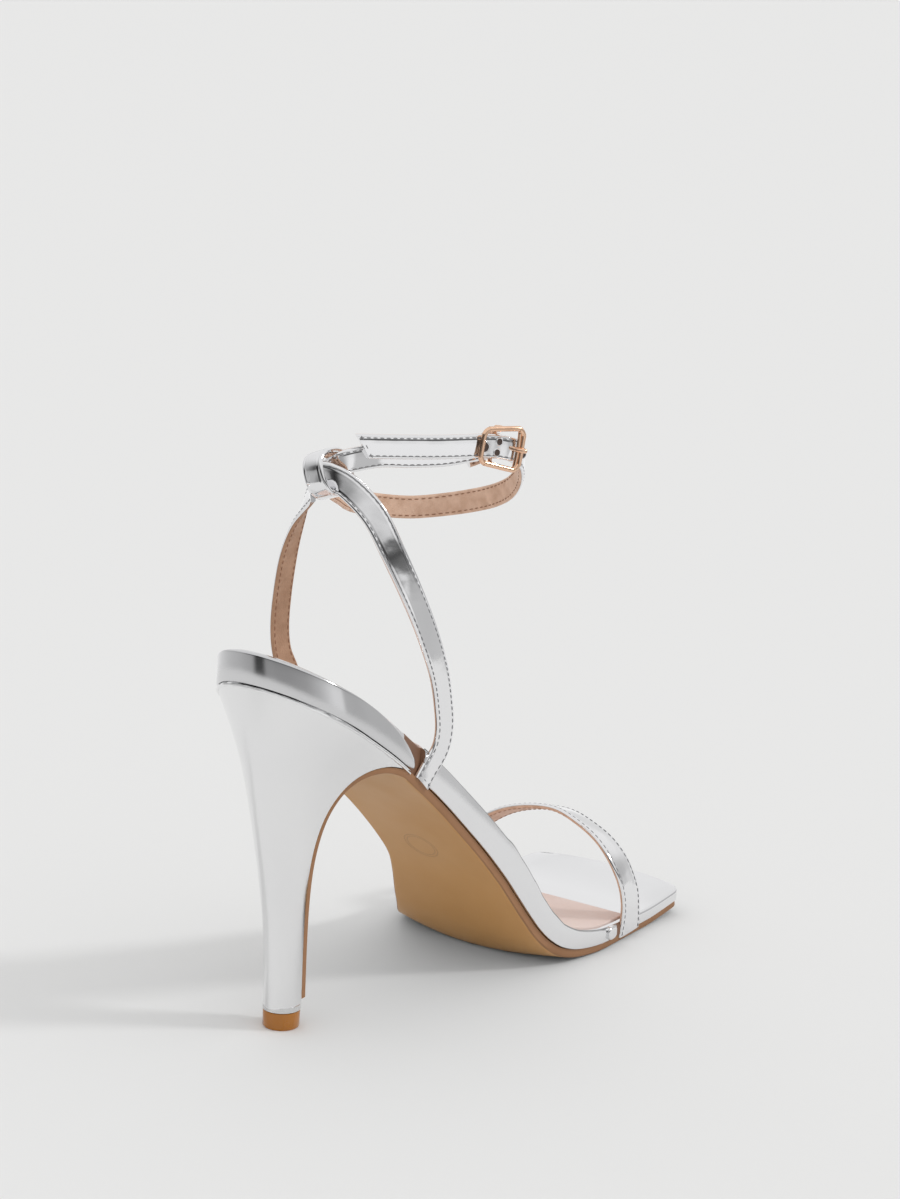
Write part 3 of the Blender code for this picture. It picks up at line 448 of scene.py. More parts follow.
def fine_grain_group():
    """Shader group: the fine relief and cloudiness of a thin coated skin."""
    tree = bpy.data.node_groups.new("coated skin", "ShaderNodeTree")
    for name, value in (("Grain Size", 900.0), ("Ripple Size", 60.0), ("Ripple", 0.2)):
        socket = tree.interface.new_socket(name, in_out="INPUT", socket_type="NodeSocketFloat")
        socket.default_value = value
    tree.interface.new_socket("Height", in_out="OUTPUT", socket_type="NodeSocketFloat")
    tree.interface.new_socket("Cloud", in_out="OUTPUT", socket_type="NodeSocketFloat")
    given = add_node(tree, "NodeGroupInput").outputs
    out = add_node(tree, "NodeGroupOutput")
    where = add_node(tree, "ShaderNodeTexCoord").outputs["Object"]
    fine = {"Vector": where, "Scale": given["Grain Size"], "Detail": 2.0}
    grain = add_node(tree, "ShaderNodeTexNoise", fine)
    coarse = {"Vector": where, "Scale": given["Ripple Size"], "Detail": 3.0}
    ripple = add_node(tree, "ShaderNodeTexNoise", coarse)
    mixed = {"Factor": given["Ripple"], "A": grain, "B": ripple}
    blend = add_node(tree, "ShaderNodeMix", mixed, data_type="FLOAT")
    feed(tree, out, {"Height": blend.outputs["Result"], "Cloud": ripple})
    return tree


coated_skin = fine_grain_group()


def coated_look(name, colours, metallic, roughness, relief, sizes, coat=0.0, specular=0.5):
    """Finish of a coated piece: two close colours, a range of roughness and a relief."""
    look = bpy.data.materials.new(name)
    look.use_nodes = True
    tree = look.node_tree
    group = add_node(tree, "ShaderNodeGroup", node_tree=coated_skin)
    feed(tree, group, dict(zip(("Grain Size", "Ripple Size", "Ripple"), sizes)))
    cloud = group.outputs["Cloud"]
    tints = {"Factor": cloud, "A": (*colours[0], 1.0), "B": (*colours[1], 1.0)}
    tint = add_node(tree, "ShaderNodeMix", tints, data_type="RGBA")
    spread = {"From Min": 0.3, "From Max": 0.7, "To Min": roughness[0], "To Max": roughness[1]}
    rough = add_node(tree, "ShaderNodeMapRange", {"Value": cloud, **spread})
    height = {"Height": group.outputs["Height"], "Strength": relief[0], "Distance": relief[1]}
    bump = add_node(tree, "ShaderNodeBump", height)
    feed(tree, tree.nodes["Principled BSDF"], {
        "Base Color": tint.outputs["Result"],
        "Roughness": rough,
        "Normal": bump,
        "Metallic": metallic,
        "Coat Weight": coat,
        "Coat Roughness": 0.1,
        "Specular IOR Level": specular,
    })
    look.diffuse_color = (*colours[0], 1.0)
    return look


foil = coated_look(
    "silver foil", FOIL_COLOURS, 1.0, (0.07, 0.14), (0.12, 0.0002), (700.0, 45.0, 0.85), coat=0.3
)
bare_edge_shade = coated_look(
    "bare brown edge and painted shade", BARE_EDGE_SHADE_COLOURS, 0.0, (0.45, 0.6), (0.3, 0.0002), (900.0, 120.0, 0.5)
)


def insole_top(place):
    return profile_curve(place) + 0.5 * GAP + upright(edge_curve(place), place)


def circle(count):
    """Cosine and sine of even steps round a circle."""
    angles = [2 * math.pi * step / count for step in range(count)]
    return [(math.cos(angle), math.sin(angle)) for angle in angles]


def quarter(steps):
    """One minus the cosine and the sine of even steps of a quarter turn."""
    angles = [0.5 * math.pi * step / steps for step in range(steps + 1)]
    return [(1.0 - math.cos(angle), 1.0 - math.sin(angle)) for angle in angles]


def edge_section(place, left, right, low, high, rounding):
    """Closed section of a flat layer whose upper edges are round."""
    rounds = quarter(EDGE_TURNS)
    upper = [(-left + rounding * inward, high - rounding * drop) for inward, drop in rounds]
    for step in range(1, EDGE_SPANS):
        across = -left + rounding + (left + right - 2.0 * rounding) * step / EDGE_SPANS
        upper.append((across, high))
    upper += [(right - rounding * inward, high - rounding * drop) for inward, drop in reversed(rounds)]
    lower = [(across, low) for across, _ in reversed(upper)]
    points = []
    for across, height in upper + lower:
        half = left if across < 0 else right
        points.append((place + toe_shift(place, across, half), across, height))
    return points


STRAP_INSET = STRAP_THICKNESS + GAP - RAND_OVERHANG
STEP_END = BACK_STRAP_ALONG * PLAN_LENGTH + 0.25 * BACK_STRAP_WIDTH
INSET_RAMP = 0.0004
BARE_SHADE_RECESS = 0.0120
BARE_SHADE_BESIDE = 0.0032
TOE_STRAP_ALONG = 0.794
TOE_STRAP_WIDTH = 0.0120


def insole_widths(place, margin=0.0):
    """Half widths of the insole, which is set in behind the back straps."""
    inset = STRAP_INSET * min(max((STEP_END - place) / INSET_RAMP, 0.0), 1.0) + margin
    left, right = half_widths(place)
    if place >= SEAT_RADIUS:
        return left - inset, right - inset
    share = math.sqrt(max(1e-4, 1.0 - ((SEAT_RADIUS - place) / (SEAT_RADIUS - inset)) ** 2))
    return (lateral_curve(place) - inset) * share, (medial_curve(place) - inset) * share


def make_insole():
    places = stations(STRAP_INSET + GAP, TOE_END - 0.0002, 150)
    places = sorted(places + [STEP_END - INSET_RAMP, STEP_END])
    loops = []
    for place in places:
        left, right = insole_widths(place)
        low = profile_curve(place) + 0.5 * GAP
        high = insole_top(place)
        rounding = min(EDGE_ROUND, 0.4 * (high - low), 0.3 * min(left, right))
        loops.append(edge_section(place, left, right, low, high, rounding))
    count = len(loops[0])
    side_end = count // 2 - 1
    toe_strap_edge = TOE_STRAP_ALONG * PLAN_LENGTH - 0.5 * TOE_STRAP_WIDTH

    # Patches behind the back straps and beside the toe strap's foot show the bare brown edge, darkened partly
    # as painted shade in these gaps.
    def look_of(row, index):
        behind = STEP_END - BARE_SHADE_RECESS < places[row] < STEP_END
        beside = toe_strap_edge - BARE_SHADE_BESIDE < places[row] < toe_strap_edge
        at_side = index < 3 or index > count - 4 or side_end - 3 < index < side_end + 4
        return 1 if behind or (beside and at_side) else 0

    insole = skin("insole_wrap", loops, [foil, bare_edge_shade], look_of=look_of)
    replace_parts(insole, "insole")
    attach(insole, "root")


make_insole()

# The sock is a soft pink-beige lining over thin foam, glued on the insole.
# It stops behind the toes in a straight cut.
SOCK_THICKNESS = 0.0007
SOCK_MARGIN = 0.0024
SOCK_END_ALONG = 0.802
SOCK_START_STEPS = (0.0003, 0.0009)
SOCK_END_STEP = 0.0006
SOCK_COLOURS = ((0.80, 0.66, 0.61), (0.74, 0.59, 0.53))

sock_skin = coated_look(
    "sock lining", SOCK_COLOURS, 0.0, (0.42, 0.6), (0.25, 0.00025), (1100.0, 70.0, 0.3), specular=0.35
)


def make_sock():
    start = STRAP_INSET + SOCK_MARGIN + GAP
    end = SOCK_END_ALONG * PLAN_LENGTH
    loops = []
    second, third = [start + step for step in SOCK_START_STEPS]
    for place in [start, second, *stations(third, end - SOCK_END_STEP, 120), end]:
        left, right = insole_widths(place, SOCK_MARGIN)
        fall = 0.5 * SOCK_THICKNESS if place in (start, end) else 0.0
        low = insole_top(place) + 0.1 * GAP
        high = low + upright(SOCK_THICKNESS, place) - fall
        rounding = min(0.5 * SOCK_THICKNESS, 0.3 * min(left, right))
        loops.append(edge_section(place, left, right, low, high, rounding))
    sock = skin("sock_lining", loops, [sock_skin])
    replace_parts(sock, "sock")
    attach(sock, "root")


make_sock()

# The outsole is a tan moulded sole with a satin face and a darker sanded edge.
# It thins behind the arch and runs down the breast of the heel as a flap; a
# plain ring is pressed into the shank, its groove darkened with painted shade.
OUTSOLE_INSET = 0.0007
FLAP_THICKNESS = 0.0017
BALL_CROWN = 0.0042
FLAP_END_HEIGHT = 0.0087
COLUMN_ARC_SHARE = 0.60
FLARE_LENGTH = 0.0145
FLARE_POWER = 1.3
HEEL_SEAT_END = 0.235
BREAST_NARROWING = 0.75
BREAST_OVERLAP = 0.0015
BREAST_LEAD = 0.008
FLAP_BLEND_ROWS = 14
CROWN_ROWS = (
    # along, depth
    (0.47, 0.00),
    (0.53, 0.25),
    (0.57, 0.70),
    (0.60, 1.00),
    (0.63, 0.75),
    (0.67, 0.30),
    (0.71, 0.00),
)
COLUMN_ROWS = (
    # rise, back, centre, half_width
    (0.00, 0.300, 0.410, 0.110),
    (0.12, 0.290, 0.404, 0.112),
    (0.27, 0.270, 0.392, 0.116),
    (0.41, 0.220, 0.366, 0.125),
    (0.55, 0.152, 0.335, 0.140),
    (0.70, 0.080, 0.300, 0.160),
    (0.85, 0.024, 0.270, 0.184),
    (1.00, 0.000, 0.250, 0.208),
)
BREAST_ROWS = (
    # along, depth
    (0.2420, 0.000),
    (0.2130, 0.014),
    (0.1840, 0.038),
    (0.1570, 0.081),
    (0.1375, 0.143),
    (0.1250, 0.232),
    (0.1195, 0.340),
    (0.1170, 0.500),
    (0.1175, 0.650),
    (0.1200, 0.860),
)
TAN_COLOURS = ((0.600, 0.315, 0.105), (0.51, 0.257, 0.079))
TAN_EDGE_COLOURS = ((0.37, 0.19, 0.095), (0.29, 0.145, 0.07))
SOLE_BOUNCE = 0.20
# The ring's line is darkened in the base colour: painted shade for its groove.
RING_SHADE_STRENGTH = 0.20
RING_PLACE = (0.0684, -0.0015)
RING_RADII = (0.0060, 0.0050)
RING_STRETCH = (1.4, 1.0, 0.0)
RING_LINE = 0.00022
RING_SHADE_COLOUR = (0.12, 0.05, 0.02)

crown_curve = monotone_curve(
    [row[0] * PLAN_LENGTH for row in CROWN_ROWS], [row[1] * BALL_CROWN for row in CROWN_ROWS]
)
column_heights = [row[0] * SEAT_HEIGHT for row in COLUMN_ROWS]
column_back = monotone_curve(column_heights, [row[1] * SEAT_WIDTH for row in COLUMN_ROWS])
column_centre = monotone_curve(column_heights, [row[2] * SEAT_WIDTH for row in COLUMN_ROWS])
column_half = monotone_curve(column_heights, [row[3] * SEAT_WIDTH for row in COLUMN_ROWS])


def bends(a, b, c, d):
    """Square and cubic terms of a smooth curve from b to c."""
    return 2 * a - 5 * b + 4 * c - d, 3 * b - a - 3 * c + d


def catmull(points, steps):
    """Even samples of a smooth curve between the second and last-but-one point."""
    points = [np.asarray(point, float) for point in points]
    line = []
    for row in range(1, len(points) - 2):
        a, b, c, d = points[row - 1 : row + 3]
        bend, twist = bends(a, b, c, d)
        for step in range(steps):
            t = step / steps
            line.append(0.5 * (2 * b + (c - a) * t + bend * t**2 + twist * t**3))
    line.append(points[-2])
    return line


def breast_points(steps):
    """Inner line of the outsole from the arch down the heel's breast."""
    rows = []
    for along, depth in BREAST_ROWS:
        place = along * PLAN_LENGTH
        rows.append((place, profile_curve(place) - 0.5 * GAP - depth * SEAT_HEIGHT))
    rows[-1] = (rows[-1][0], FLAP_END_HEIGHT)
    slope = profile_slope(rows[0][0])
    before = (rows[0][0] + BREAST_LEAD, rows[0][1] + BREAST_LEAD * slope)
    after = (rows[-1][0] + 0.0003, rows[-1][1] - 0.02)
    return catmull([before, *rows, after], steps)


def column_point(share, height):
    """Point of the column's outline; share runs -1 outer front, 0 back, 1 inner front."""
    back = column_back(height)
    centre = column_centre(height)
    half = column_half(height)
    side = -1.0 if share < 0 else 1.0
    reach = abs(share)
    if reach <= COLUMN_ARC_SHARE:
        angle = 0.5 * math.pi * reach / COLUMN_ARC_SHARE
        return centre - (centre - back) * math.cos(angle), side * half * math.sin(angle)
    front = (reach - COLUMN_ARC_SHARE) / (1.0 - COLUMN_ARC_SHARE)
    column_front = BREAST_ROWS[-1][0] * PLAN_LENGTH + BREAST_OVERLAP
    place = centre + (column_front - centre) * front
    return place, side * half * math.sqrt(1.0 - (BREAST_NARROWING * front) ** 2)


def seat_point(share):
    """Point of the seat's outline that goes with a point of the column."""
    side = -1.0 if share < 0 else 1.0
    curve = lateral_curve if share < 0 else medial_curve
    reach = abs(share)
    if reach <= COLUMN_ARC_SHARE:
        angle = 0.5 * math.pi * reach / COLUMN_ARC_SHARE
        return SEAT_RADIUS * (1.0 - math.cos(angle)), side * curve(SEAT_RADIUS) * math.sin(angle)
    front = (reach - COLUMN_ARC_SHARE) / (1.0 - COLUMN_ARC_SHARE)
    place = SEAT_RADIUS + (HEEL_SEAT_END * PLAN_LENGTH - SEAT_RADIUS) * front
    return place, side * curve(place)


def heel_point(share, height):
    seat_x, seat_y = seat_point(share)
    top = profile_curve(seat_x) - 0.5 * GAP
    top_x, top_y = column_point(share, top)
    here_x, here_y = column_point(share, height)
    left = math.exp(-((max(top - height, 0.0) / FLARE_LENGTH) ** FLARE_POWER))
    return here_x + (seat_x - top_x) * left, here_y + (seat_y - top_y) * left


def heel_half_at(place, height, side):
    """Half width of the heel's side wall at a place on its breast."""
    low, high = 0.9 * COLUMN_ARC_SHARE, 1.0
    for _ in range(24):
        middle = 0.5 * (low + high)
        if heel_point(side * middle, height)[0] < place:
            low = middle
        else:
            high = middle
    return abs(heel_point(side * low, height)[1])


def offset_line(line, distances):
    """Line moved across itself, positive to the outside of the sole."""
    moved = []
    for index, point in enumerate(line):
        before = np.asarray(line[max(index - 1, 0)])
        after = np.asarray(line[min(index + 1, len(line) - 1)])
        step = after - before
        step /= np.linalg.norm(step)
        moved.append(np.asarray(point) + np.array((-step[1], step[0])) * distances[index])
    return moved


def pressed_ring_and_shade(look):
    """Adds a pressed ring on the shank to a finish's relief, with painted shade darkening its line in the
    colour.
    """
    tree = look.node_tree
    shader = tree.nodes["Principled BSDF"]
    where = add_node(tree, "ShaderNodeTexCoord").outputs["Object"]
    place = (-RING_PLACE[0], -RING_PLACE[1], 0.0)
    centred = add_node(tree, "ShaderNodeMapping", {"Vector": where, "Location": place})
    flat = add_node(tree, "ShaderNodeVectorMath", {0: centred, 1: RING_STRETCH}, operation="MULTIPLY")
    reach = add_node(tree, "ShaderNodeVectorMath", {0: flat}, operation="LENGTH").outputs["Value"]
    outer, inner = [
        add_node(tree, "ShaderNodeMath", {0: reach, 1: radius, 2: RING_LINE}, operation="COMPARE")
        for radius in RING_RADII
    ]
    total = add_node(tree, "ShaderNodeMath", {0: outer, 1: inner}, operation="ADD")
    grain = shader.inputs["Normal"].links[0].from_socket
    relief = {"Strength": 0.8, "Distance": 0.0004, "Height": total, "Normal": grain}
    press = add_node(tree, "ShaderNodeBump", relief, invert=True)
    # Painted shade: the base colour is darkened along the ring's line.
    shade_amount = add_node(tree, "ShaderNodeMath", {0: total, 1: RING_SHADE_STRENGTH}, operation="MULTIPLY")
    colour = shader.inputs["Base Color"].links[0].from_socket
    ring_shade = {"Fac": shade_amount, "Color1": colour, "Color2": (*RING_SHADE_COLOUR, 1.0)}
    feed(tree, shader, {"Normal": press, "Base Color": add_node(tree, "ShaderNodeMixRGB", ring_shade)})


def grey_bounce(look):
    """Lets a finish throw only a little grey light on the floor beside it."""
    tree = look.node_tree
    shader = tree.nodes["Principled BSDF"]
    bounced = add_node(tree, "ShaderNodeLightPath").outputs["Is Diffuse Ray"]
    colour = shader.inputs["Base Color"].links[0].from_socket
    dull = {"Fac": bounced, "Color1": colour, "Color2": grey(SOLE_BOUNCE)}
    feed(tree, shader, {"Base Color": add_node(tree, "ShaderNodeMixRGB", dull)})


tan_face = coated_look(
    "tan sole face", TAN_COLOURS, 0.0, (0.36, 0.52), (0.18, 0.00025), (800.0, 35.0, 0.4), coat=0.08
)
tan_edge = coated_look(
    "sanded sole edge", TAN_EDGE_COLOURS, 0.0, (0.5, 0.65), (0.3, 0.0002), (1200.0, 90.0, 0.3), specular=0.3
)
pressed_ring_and_shade(tan_face)
grey_bounce(tan_face)
grey_bounce(tan_edge)


def make_outsole():
    start = BREAST_ROWS[0][0] * PLAN_LENGTH
    rows = []
    for place in reversed(stations(start + 0.001, TOE_END - 0.0004, 130)):
        left, right = half_widths(place)
        height = profile_curve(place) - 0.5 * GAP
        rows.append(((place, height), left - OUTSOLE_INSET, right - OUTSOLE_INSET, OUTSOLE_THICKNESS))
    line = breast_points(12)
    for index, point in enumerate(line):
        left_thick = max(0.0, 1.0 - 3.0 * index / (len(line) - 1)) ** 2
        thickness = FLAP_THICKNESS + (OUTSOLE_THICKNESS - FLAP_THICKNESS) * left_thick
        left = heel_half_at(point[0], point[1], -1.0)
        right = heel_half_at(point[0], point[1], 1.0)
        wide_left, wide_right = half_widths(point[0])
        into = min(index / FLAP_BLEND_ROWS, 1.0)
        left = (wide_left - OUTSOLE_INSET) * (1.0 - into) + left * into
        right = (wide_right - OUTSOLE_INSET) * (1.0 - into) + right * into
        rows.append((tuple(point), left, right, thickness))
    outer = offset_line([row[0] for row in rows], [row[3] for row in rows])
    steps = (0.2, 0.4, 0.6, 0.8, 0.93, 0.985, 1.0)
    shares = [-step for step in reversed(steps)] + [0.0, *steps]
    loops = []
    for (inner, left, right, thickness), under in zip(rows, outer):
        loop = []
        for share in shares:
            half = left if share < 0 else right
            across = share * half
            loop.append((inner[0] + toe_shift(inner[0], across, half), across, inner[1]))
        for share in reversed(shares):
            half = left if share < 0 else right
            across = share * half
            shift = toe_shift(inner[0], across, half)
            crown = crown_curve(inner[0]) * (1.0 - share**2)
            round_off = 0.18 * thickness if abs(share) == 1.0 else 0.0
            loop.append((under[0] + shift, across, max(under[1] - crown, 0.0) + round_off))
        loops.append(loop)
    count = 2 * len(shares)

    def look_of(row, index):
        at_side = index in (len(shares) - 1, count - 1, len(shares), count - 2)
        return 1 if at_side or row < 1 else 0

    outsole = skin("outsole_unit", loops, [tan_face, tan_edge], look_of=look_of, sharp=50.0)
    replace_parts(outsole, "outsole")
    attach(outsole, "root")


make_outsole()

# The heel is a moulded block covered in the foil, which is drawn tight round
# the back and cut off clean at the breast, where the sole's flap lies on it.
TIP_HEIGHT = 0.0056
TIP_RADIUS = 0.0057
TIP_FLAT = 0.0044
HEEL_ROWS = 90
HEEL_STEPS = 26
HEEL_ROW_POWER = 1.4
COLUMN_STEPS = 12
CUTTER_LOW = -0.02
SEAM_RADIUS = 0.00055
HEEL_COLOURS = ((0.84, 0.84, 0.85), (0.90, 0.90, 0.90))

heel_foil = coated_look(
    "heel foil", HEEL_COLOURS, 1.0, (0.14, 0.22), (0.1, 0.0002), (500.0, 30.0, 0.9), coat=0.3
)


def make_heel():
    shares = [COLUMN_ARC_SHARE * step / HEEL_STEPS for step in range(HEEL_STEPS)]
    column = 1.0 - COLUMN_ARC_SHARE
    shares += [COLUMN_ARC_SHARE + column * step / COLUMN_STEPS for step in range(COLUMN_STEPS + 1)]
    shares = [-share for share in reversed(shares[1:])] + shares
    bottom = TIP_HEIGHT + GAP
    loops = []
    for step in range(HEEL_ROWS + 1):
        drop = (step / HEEL_ROWS) ** HEEL_ROW_POWER
        loop = []
        for share in shares:
            top = profile_curve(seat_point(share)[0]) - 0.5 * GAP
            height = top + (bottom - top) * drop
            place, across = heel_point(share, height)
            loop.append((place, across, height))
        loops.append(loop)
    body = skin("heel_cover", loops, [heel_foil])
    line = breast_points(8)
    outline = [tuple(point) for point in offset_line(line, [-GAP] * len(line))]
    outline.append((outline[-1][0], CUTTER_LOW))
    outline.append((0.5 * PLAN_LENGTH, CUTTER_LOW))
    outline.append((0.5 * PLAN_LENGTH, outline[0][1]))
    count = len(outline)
    vertices = [(x, side, z) for side in (-SEAT_WIDTH, SEAT_WIDTH) for x, z in outline]
    faces = [(i, (i + 1) % count, (i + 1) % count + count, i + count) for i in range(count)]
    faces += [tuple(reversed(range(count))), tuple(range(count, 2 * count))]
    cutter = piece_from_faces("breast_cutter", vertices, faces, [])
    cut = body.modifiers.new("breast", "BOOLEAN")
    cut.operation = "DIFFERENCE"
    cut.solver = "EXACT"
    cut.object = cutter
    bpy.context.view_layer.update()
    shown = body.evaluated_get(bpy.context.evaluated_depsgraph_get())
    mesh = bpy.data.meshes.new_from_object(shown)
    body.modifiers.clear()
    body.data = mesh
    bpy.data.objects.remove(cutter, do_unlink=True)
    mesh.shade_smooth()
    mesh.set_sharp_from_angle(angle=math.radians(45.0))
    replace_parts(body, "heel")
    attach(body, "root")


def make_heel_seam():
    """Folded edge of the heel's cover, just under the insole."""
    loops = []
    for step in range(181):
        share = -1.0 + 2.0 * step / 180
        place, _ = seat_point(share)
        height = profile_curve(place) - 0.5 * GAP - SEAM_RADIUS
        x, y = heel_point(share, height)
        before = heel_point(max(share - 0.01, -1.0), height)
        after = heel_point(min(share + 0.01, 1.0), height)
        outward = Vector((after[1] - before[1], before[0] - after[0], 0.0)).normalized()
        if outward.dot(Vector((x - SEAT_RADIUS, y, 0.0))) < 0:
            outward = -outward
        swell = SEAM_RADIUS * (1.0 + 0.25 * math.sin(31.0 * share) * math.sin(47.0 * share + 1.0))
        loop = []
        for cos, sin in circle(8):
            out = outward * (cos * swell)
            loop.append((x + out.x, y + out.y, height + sin * swell))
        loops.append(loop)
    seam = skin("heel_seam", loops, [heel_foil])
    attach(seam, "root")


make_heel()
make_heel_seam()

# The top piece is a hard caramel tip pressed into the heel, under a thin clear
# lip where the foil is turned in.
AMBER_COLOURS = ((0.33, 0.112, 0.006), (0.43, 0.158, 0.010))
LIP_COLOURS = ((0.62, 0.62, 0.62), (0.74, 0.74, 0.74))
LIP_HEIGHT = 0.0019

amber = coated_look(
    "caramel tip", AMBER_COLOURS, 0.0, (0.2, 0.32), (0.12, 0.0002), (600.0, 80.0, 0.5), coat=0.35
)
clear_lip = coated_look(
    "clear lip", LIP_COLOURS, 0.7, (0.12, 0.2), (0.1, 0.0001), (600.0, 80.0, 0.5), coat=0.5
)


def tip_loops(levels, height, base):
    loops = []
    for share, swell in levels:
        loop = []
        for cos, sin in circle(72):
            x = min(TIP_RADIUS * swell * cos, TIP_FLAT * swell)
            loop.append((TIP_SETBACK + x, TIP_RADIUS * swell * sin, base + share * height))
        loops.append(loop)
    return loops


def make_top_piece():
    levels = ((0.0, 0.93), (0.03, 0.96), (0.1, 1.0), (0.5, 1.0), (0.93, 1.02), (0.98, 1.01), (1.0, 0.98))
    tip = skin("top_lift", tip_loops(levels, TIP_HEIGHT, 0.0), [amber])
    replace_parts(tip, "top_piece")
    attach(tip, "root")
    levels = ((0.0, 0.99), (0.06, 1.035), (0.5, 1.045), (0.94, 1.035), (1.0, 0.99))
    lip = skin("heel_lip", tip_loops(levels, LIP_HEIGHT, TIP_HEIGHT + 0.0001), [clear_lip])
    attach(lip, "root")


make_top_piece()

# Covered strips hide the insole's side edge: one round the seat, and one along
# each side from the back straps to the toe strap, each with round ends.  The
# side strips show a thin dark line on top: their cut edge, with painted shade
# where strip and insole top meet.
RAND_THICKNESS = 0.0016
RAND_END_ALONG = 0.228
SEAT_ARC_SHARE = 0.72
SIDE_STRIP_THICKNESS = 0.0005
RAND_FALL = 0.0052
RAND_FALL_LENGTH = 0.025
RAND_REACH = 0.0034
RAND_FALL_POWER = 1.9
STRIP_HEIGHT_SHARE = 0.985
STRIP_SINK = 0.0004
END_STEPS = 7.0
STRIP_RECESS = 0.0002
TAB_LENGTH = 0.0052
TAB_THICKNESS = 0.0011
TAB_SETBACK = 0.0030
TAB_GAP = 0.0006
EDGE_LINE_RADIUS = 0.00024
EDGE_LINE_INSET = 0.0003
EDGE_LINE_STEPS = 140
EDGE_LINE_GAP = 0.0008
RIM_COLOURS = ((0.62, 0.62, 0.63), (0.74, 0.74, 0.75))
# Dark line along the side strips' tops: their cut edge, partly painted shade where strip and insole top meet.
CUT_EDGE_SHADE_COLOURS = ((0.20, 0.20, 0.20), (0.30, 0.30, 0.30))

rim_foil = coated_look(
    "rim foil", RIM_COLOURS, 1.0, (0.08, 0.16), (0.14, 0.0002), (700.0, 40.0, 0.85), coat=0.3
)
cut_edge_shade = coated_look(
    "dark cut edge and painted shade", CUT_EDGE_SHADE_COLOURS, 0.0, (0.4, 0.55), (0.2, 0.0001), (900.0, 120.0, 0.5)
)


def strip_loops(path, inner, outer, falls=None):
    """Loops of a strip with a soft outer face, rounded ends and a falling top."""
    loops = []
    count = len(path) - 1
    for index, (place, across, outward) in enumerate(path):
        near = min(index, count - index)
        into = min(near / END_STEPS, 1.0)
        taper = 0.35 + 0.65 * math.sqrt(1.0 - (1.0 - into) ** 2)
        low = profile_curve(place) + 0.5 * GAP
        high = low + upright(edge_curve(place), place) * STRIP_HEIGHT_SHARE - (falls[index] if falls else 0.0)
        middle = 0.5 * (low + high)
        low = middle + (low - middle) * taper
        high = middle + (high - middle) * taper
        soft = 0.5 * (outer - inner)
        face = outer if near else outer - 0.5 * soft
        rounds = [(face - soft * inward, soft * rise) for rise, inward in quarter(4)]
        cross = [(inner, low)] + [(a, low + rise) for a, rise in rounds]
        cross += [(a, high - rise) for a, rise in reversed(rounds)] + [(inner, high)]
        loops.append([(place + outward[0] * a, across + outward[1] * a, z) for a, z in cross])
    return loops


def make_rand():
    path = []
    end = RAND_END_ALONG * PLAN_LENGTH + RAND_REACH
    steps = 90
    for step in range(-steps, steps + 1):
        turn = step / steps
        side = -1.0 if turn < 0 else 1.0
        curve = lateral_curve if turn < 0 else medial_curve
        reach = abs(turn)
        if reach < SEAT_ARC_SHARE:
            angle = 0.5 * math.pi * reach / SEAT_ARC_SHARE
            place = SEAT_RADIUS * (1.0 - math.cos(angle))
            width = curve(SEAT_RADIUS) * math.sin(angle)
            outward = (-math.cos(angle), side * math.sin(angle))
        else:
            rest = (reach - SEAT_ARC_SHARE) / (1.0 - SEAT_ARC_SHARE)
            place = SEAT_RADIUS + (end - SEAT_RADIUS) * rest
            width = curve(place)
            outward = (0.0, side)
        path.append((place, side * width, outward))
    shares = [max(1.0 - (end - row[0]) / RAND_FALL_LENGTH, 0.0) for row in path]
    falls = [RAND_FALL * share**RAND_FALL_POWER for share in shares]
    loops = strip_loops(path, RAND_OVERHANG - RAND_THICKNESS, RAND_OVERHANG, falls)
    rand = skin("heel_rand_cover", loops, [rim_foil])
    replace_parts(rand, "heel_rand")
    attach(rand, "root")


def side_strip(name, side, start, end, steps, thickness):
    """Strip along one side of the insole between two places."""
    curve = lateral_curve if side < 0 else medial_curve
    path = []
    for step in range(steps + 1):
        place = start + (end - start) * step / steps
        reach = 2 * SLOPE_STEP
        slope = (curve(place + reach) - curve(place - reach)) / (2 * reach)
        outward = Vector((-slope, 1.0)).normalized()
        path.append((place, side * curve(place), (outward[0], side * outward[1])))
    strip = skin(name, strip_loops(path, -STRIP_SINK, thickness - STRIP_RECESS), [foil])
    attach(strip, "root")


def edge_line(name, side, start, end, thickness):
    """Dark cut edge of a side strip with painted shade where it meets the insole's top, a fine round line
    along its top.
    """
    curve = lateral_curve if side < 0 else medial_curve
    loops = []
    for step in range(EDGE_LINE_STEPS + 1):
        place = start + (end - start) * step / EDGE_LINE_STEPS
        across = curve(place) + 0.5 * thickness - EDGE_LINE_INSET
        height = profile_curve(place) + 0.5 * GAP + upright(edge_curve(place), place) * STRIP_HEIGHT_SHARE
        loops.append([
            (place, side * (across + EDGE_LINE_RADIUS * cos), height + EDGE_LINE_RADIUS * sin)
            for cos, sin in circle(6)
        ])
    line = skin(name, loops, [cut_edge_shade])
    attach(line, "root")


def make_side_strips():
    start = BACK_STRAP_ALONG * PLAN_LENGTH + 0.2 * BACK_STRAP_WIDTH
    strap_edge = TOE_STRAP_ALONG * PLAN_LENGTH - 0.5 * TOE_STRAP_WIDTH
    for name, side in (("outer", -1.0), ("inner", 1.0)):
        tab_end = strap_edge - TAB_SETBACK
        tab_start = tab_end - TAB_LENGTH
        side_strip(name + "_strip", side, start, tab_start - TAB_GAP, 120, SIDE_STRIP_THICKNESS)
        side_strip(name + "_tab", side, tab_start, tab_end, 18, TAB_THICKNESS)
        edge_line(name + "_edge_line", side, start, tab_start - EDGE_LINE_GAP, SIDE_STRIP_THICKNESS)


make_rand()
make_side_strips()

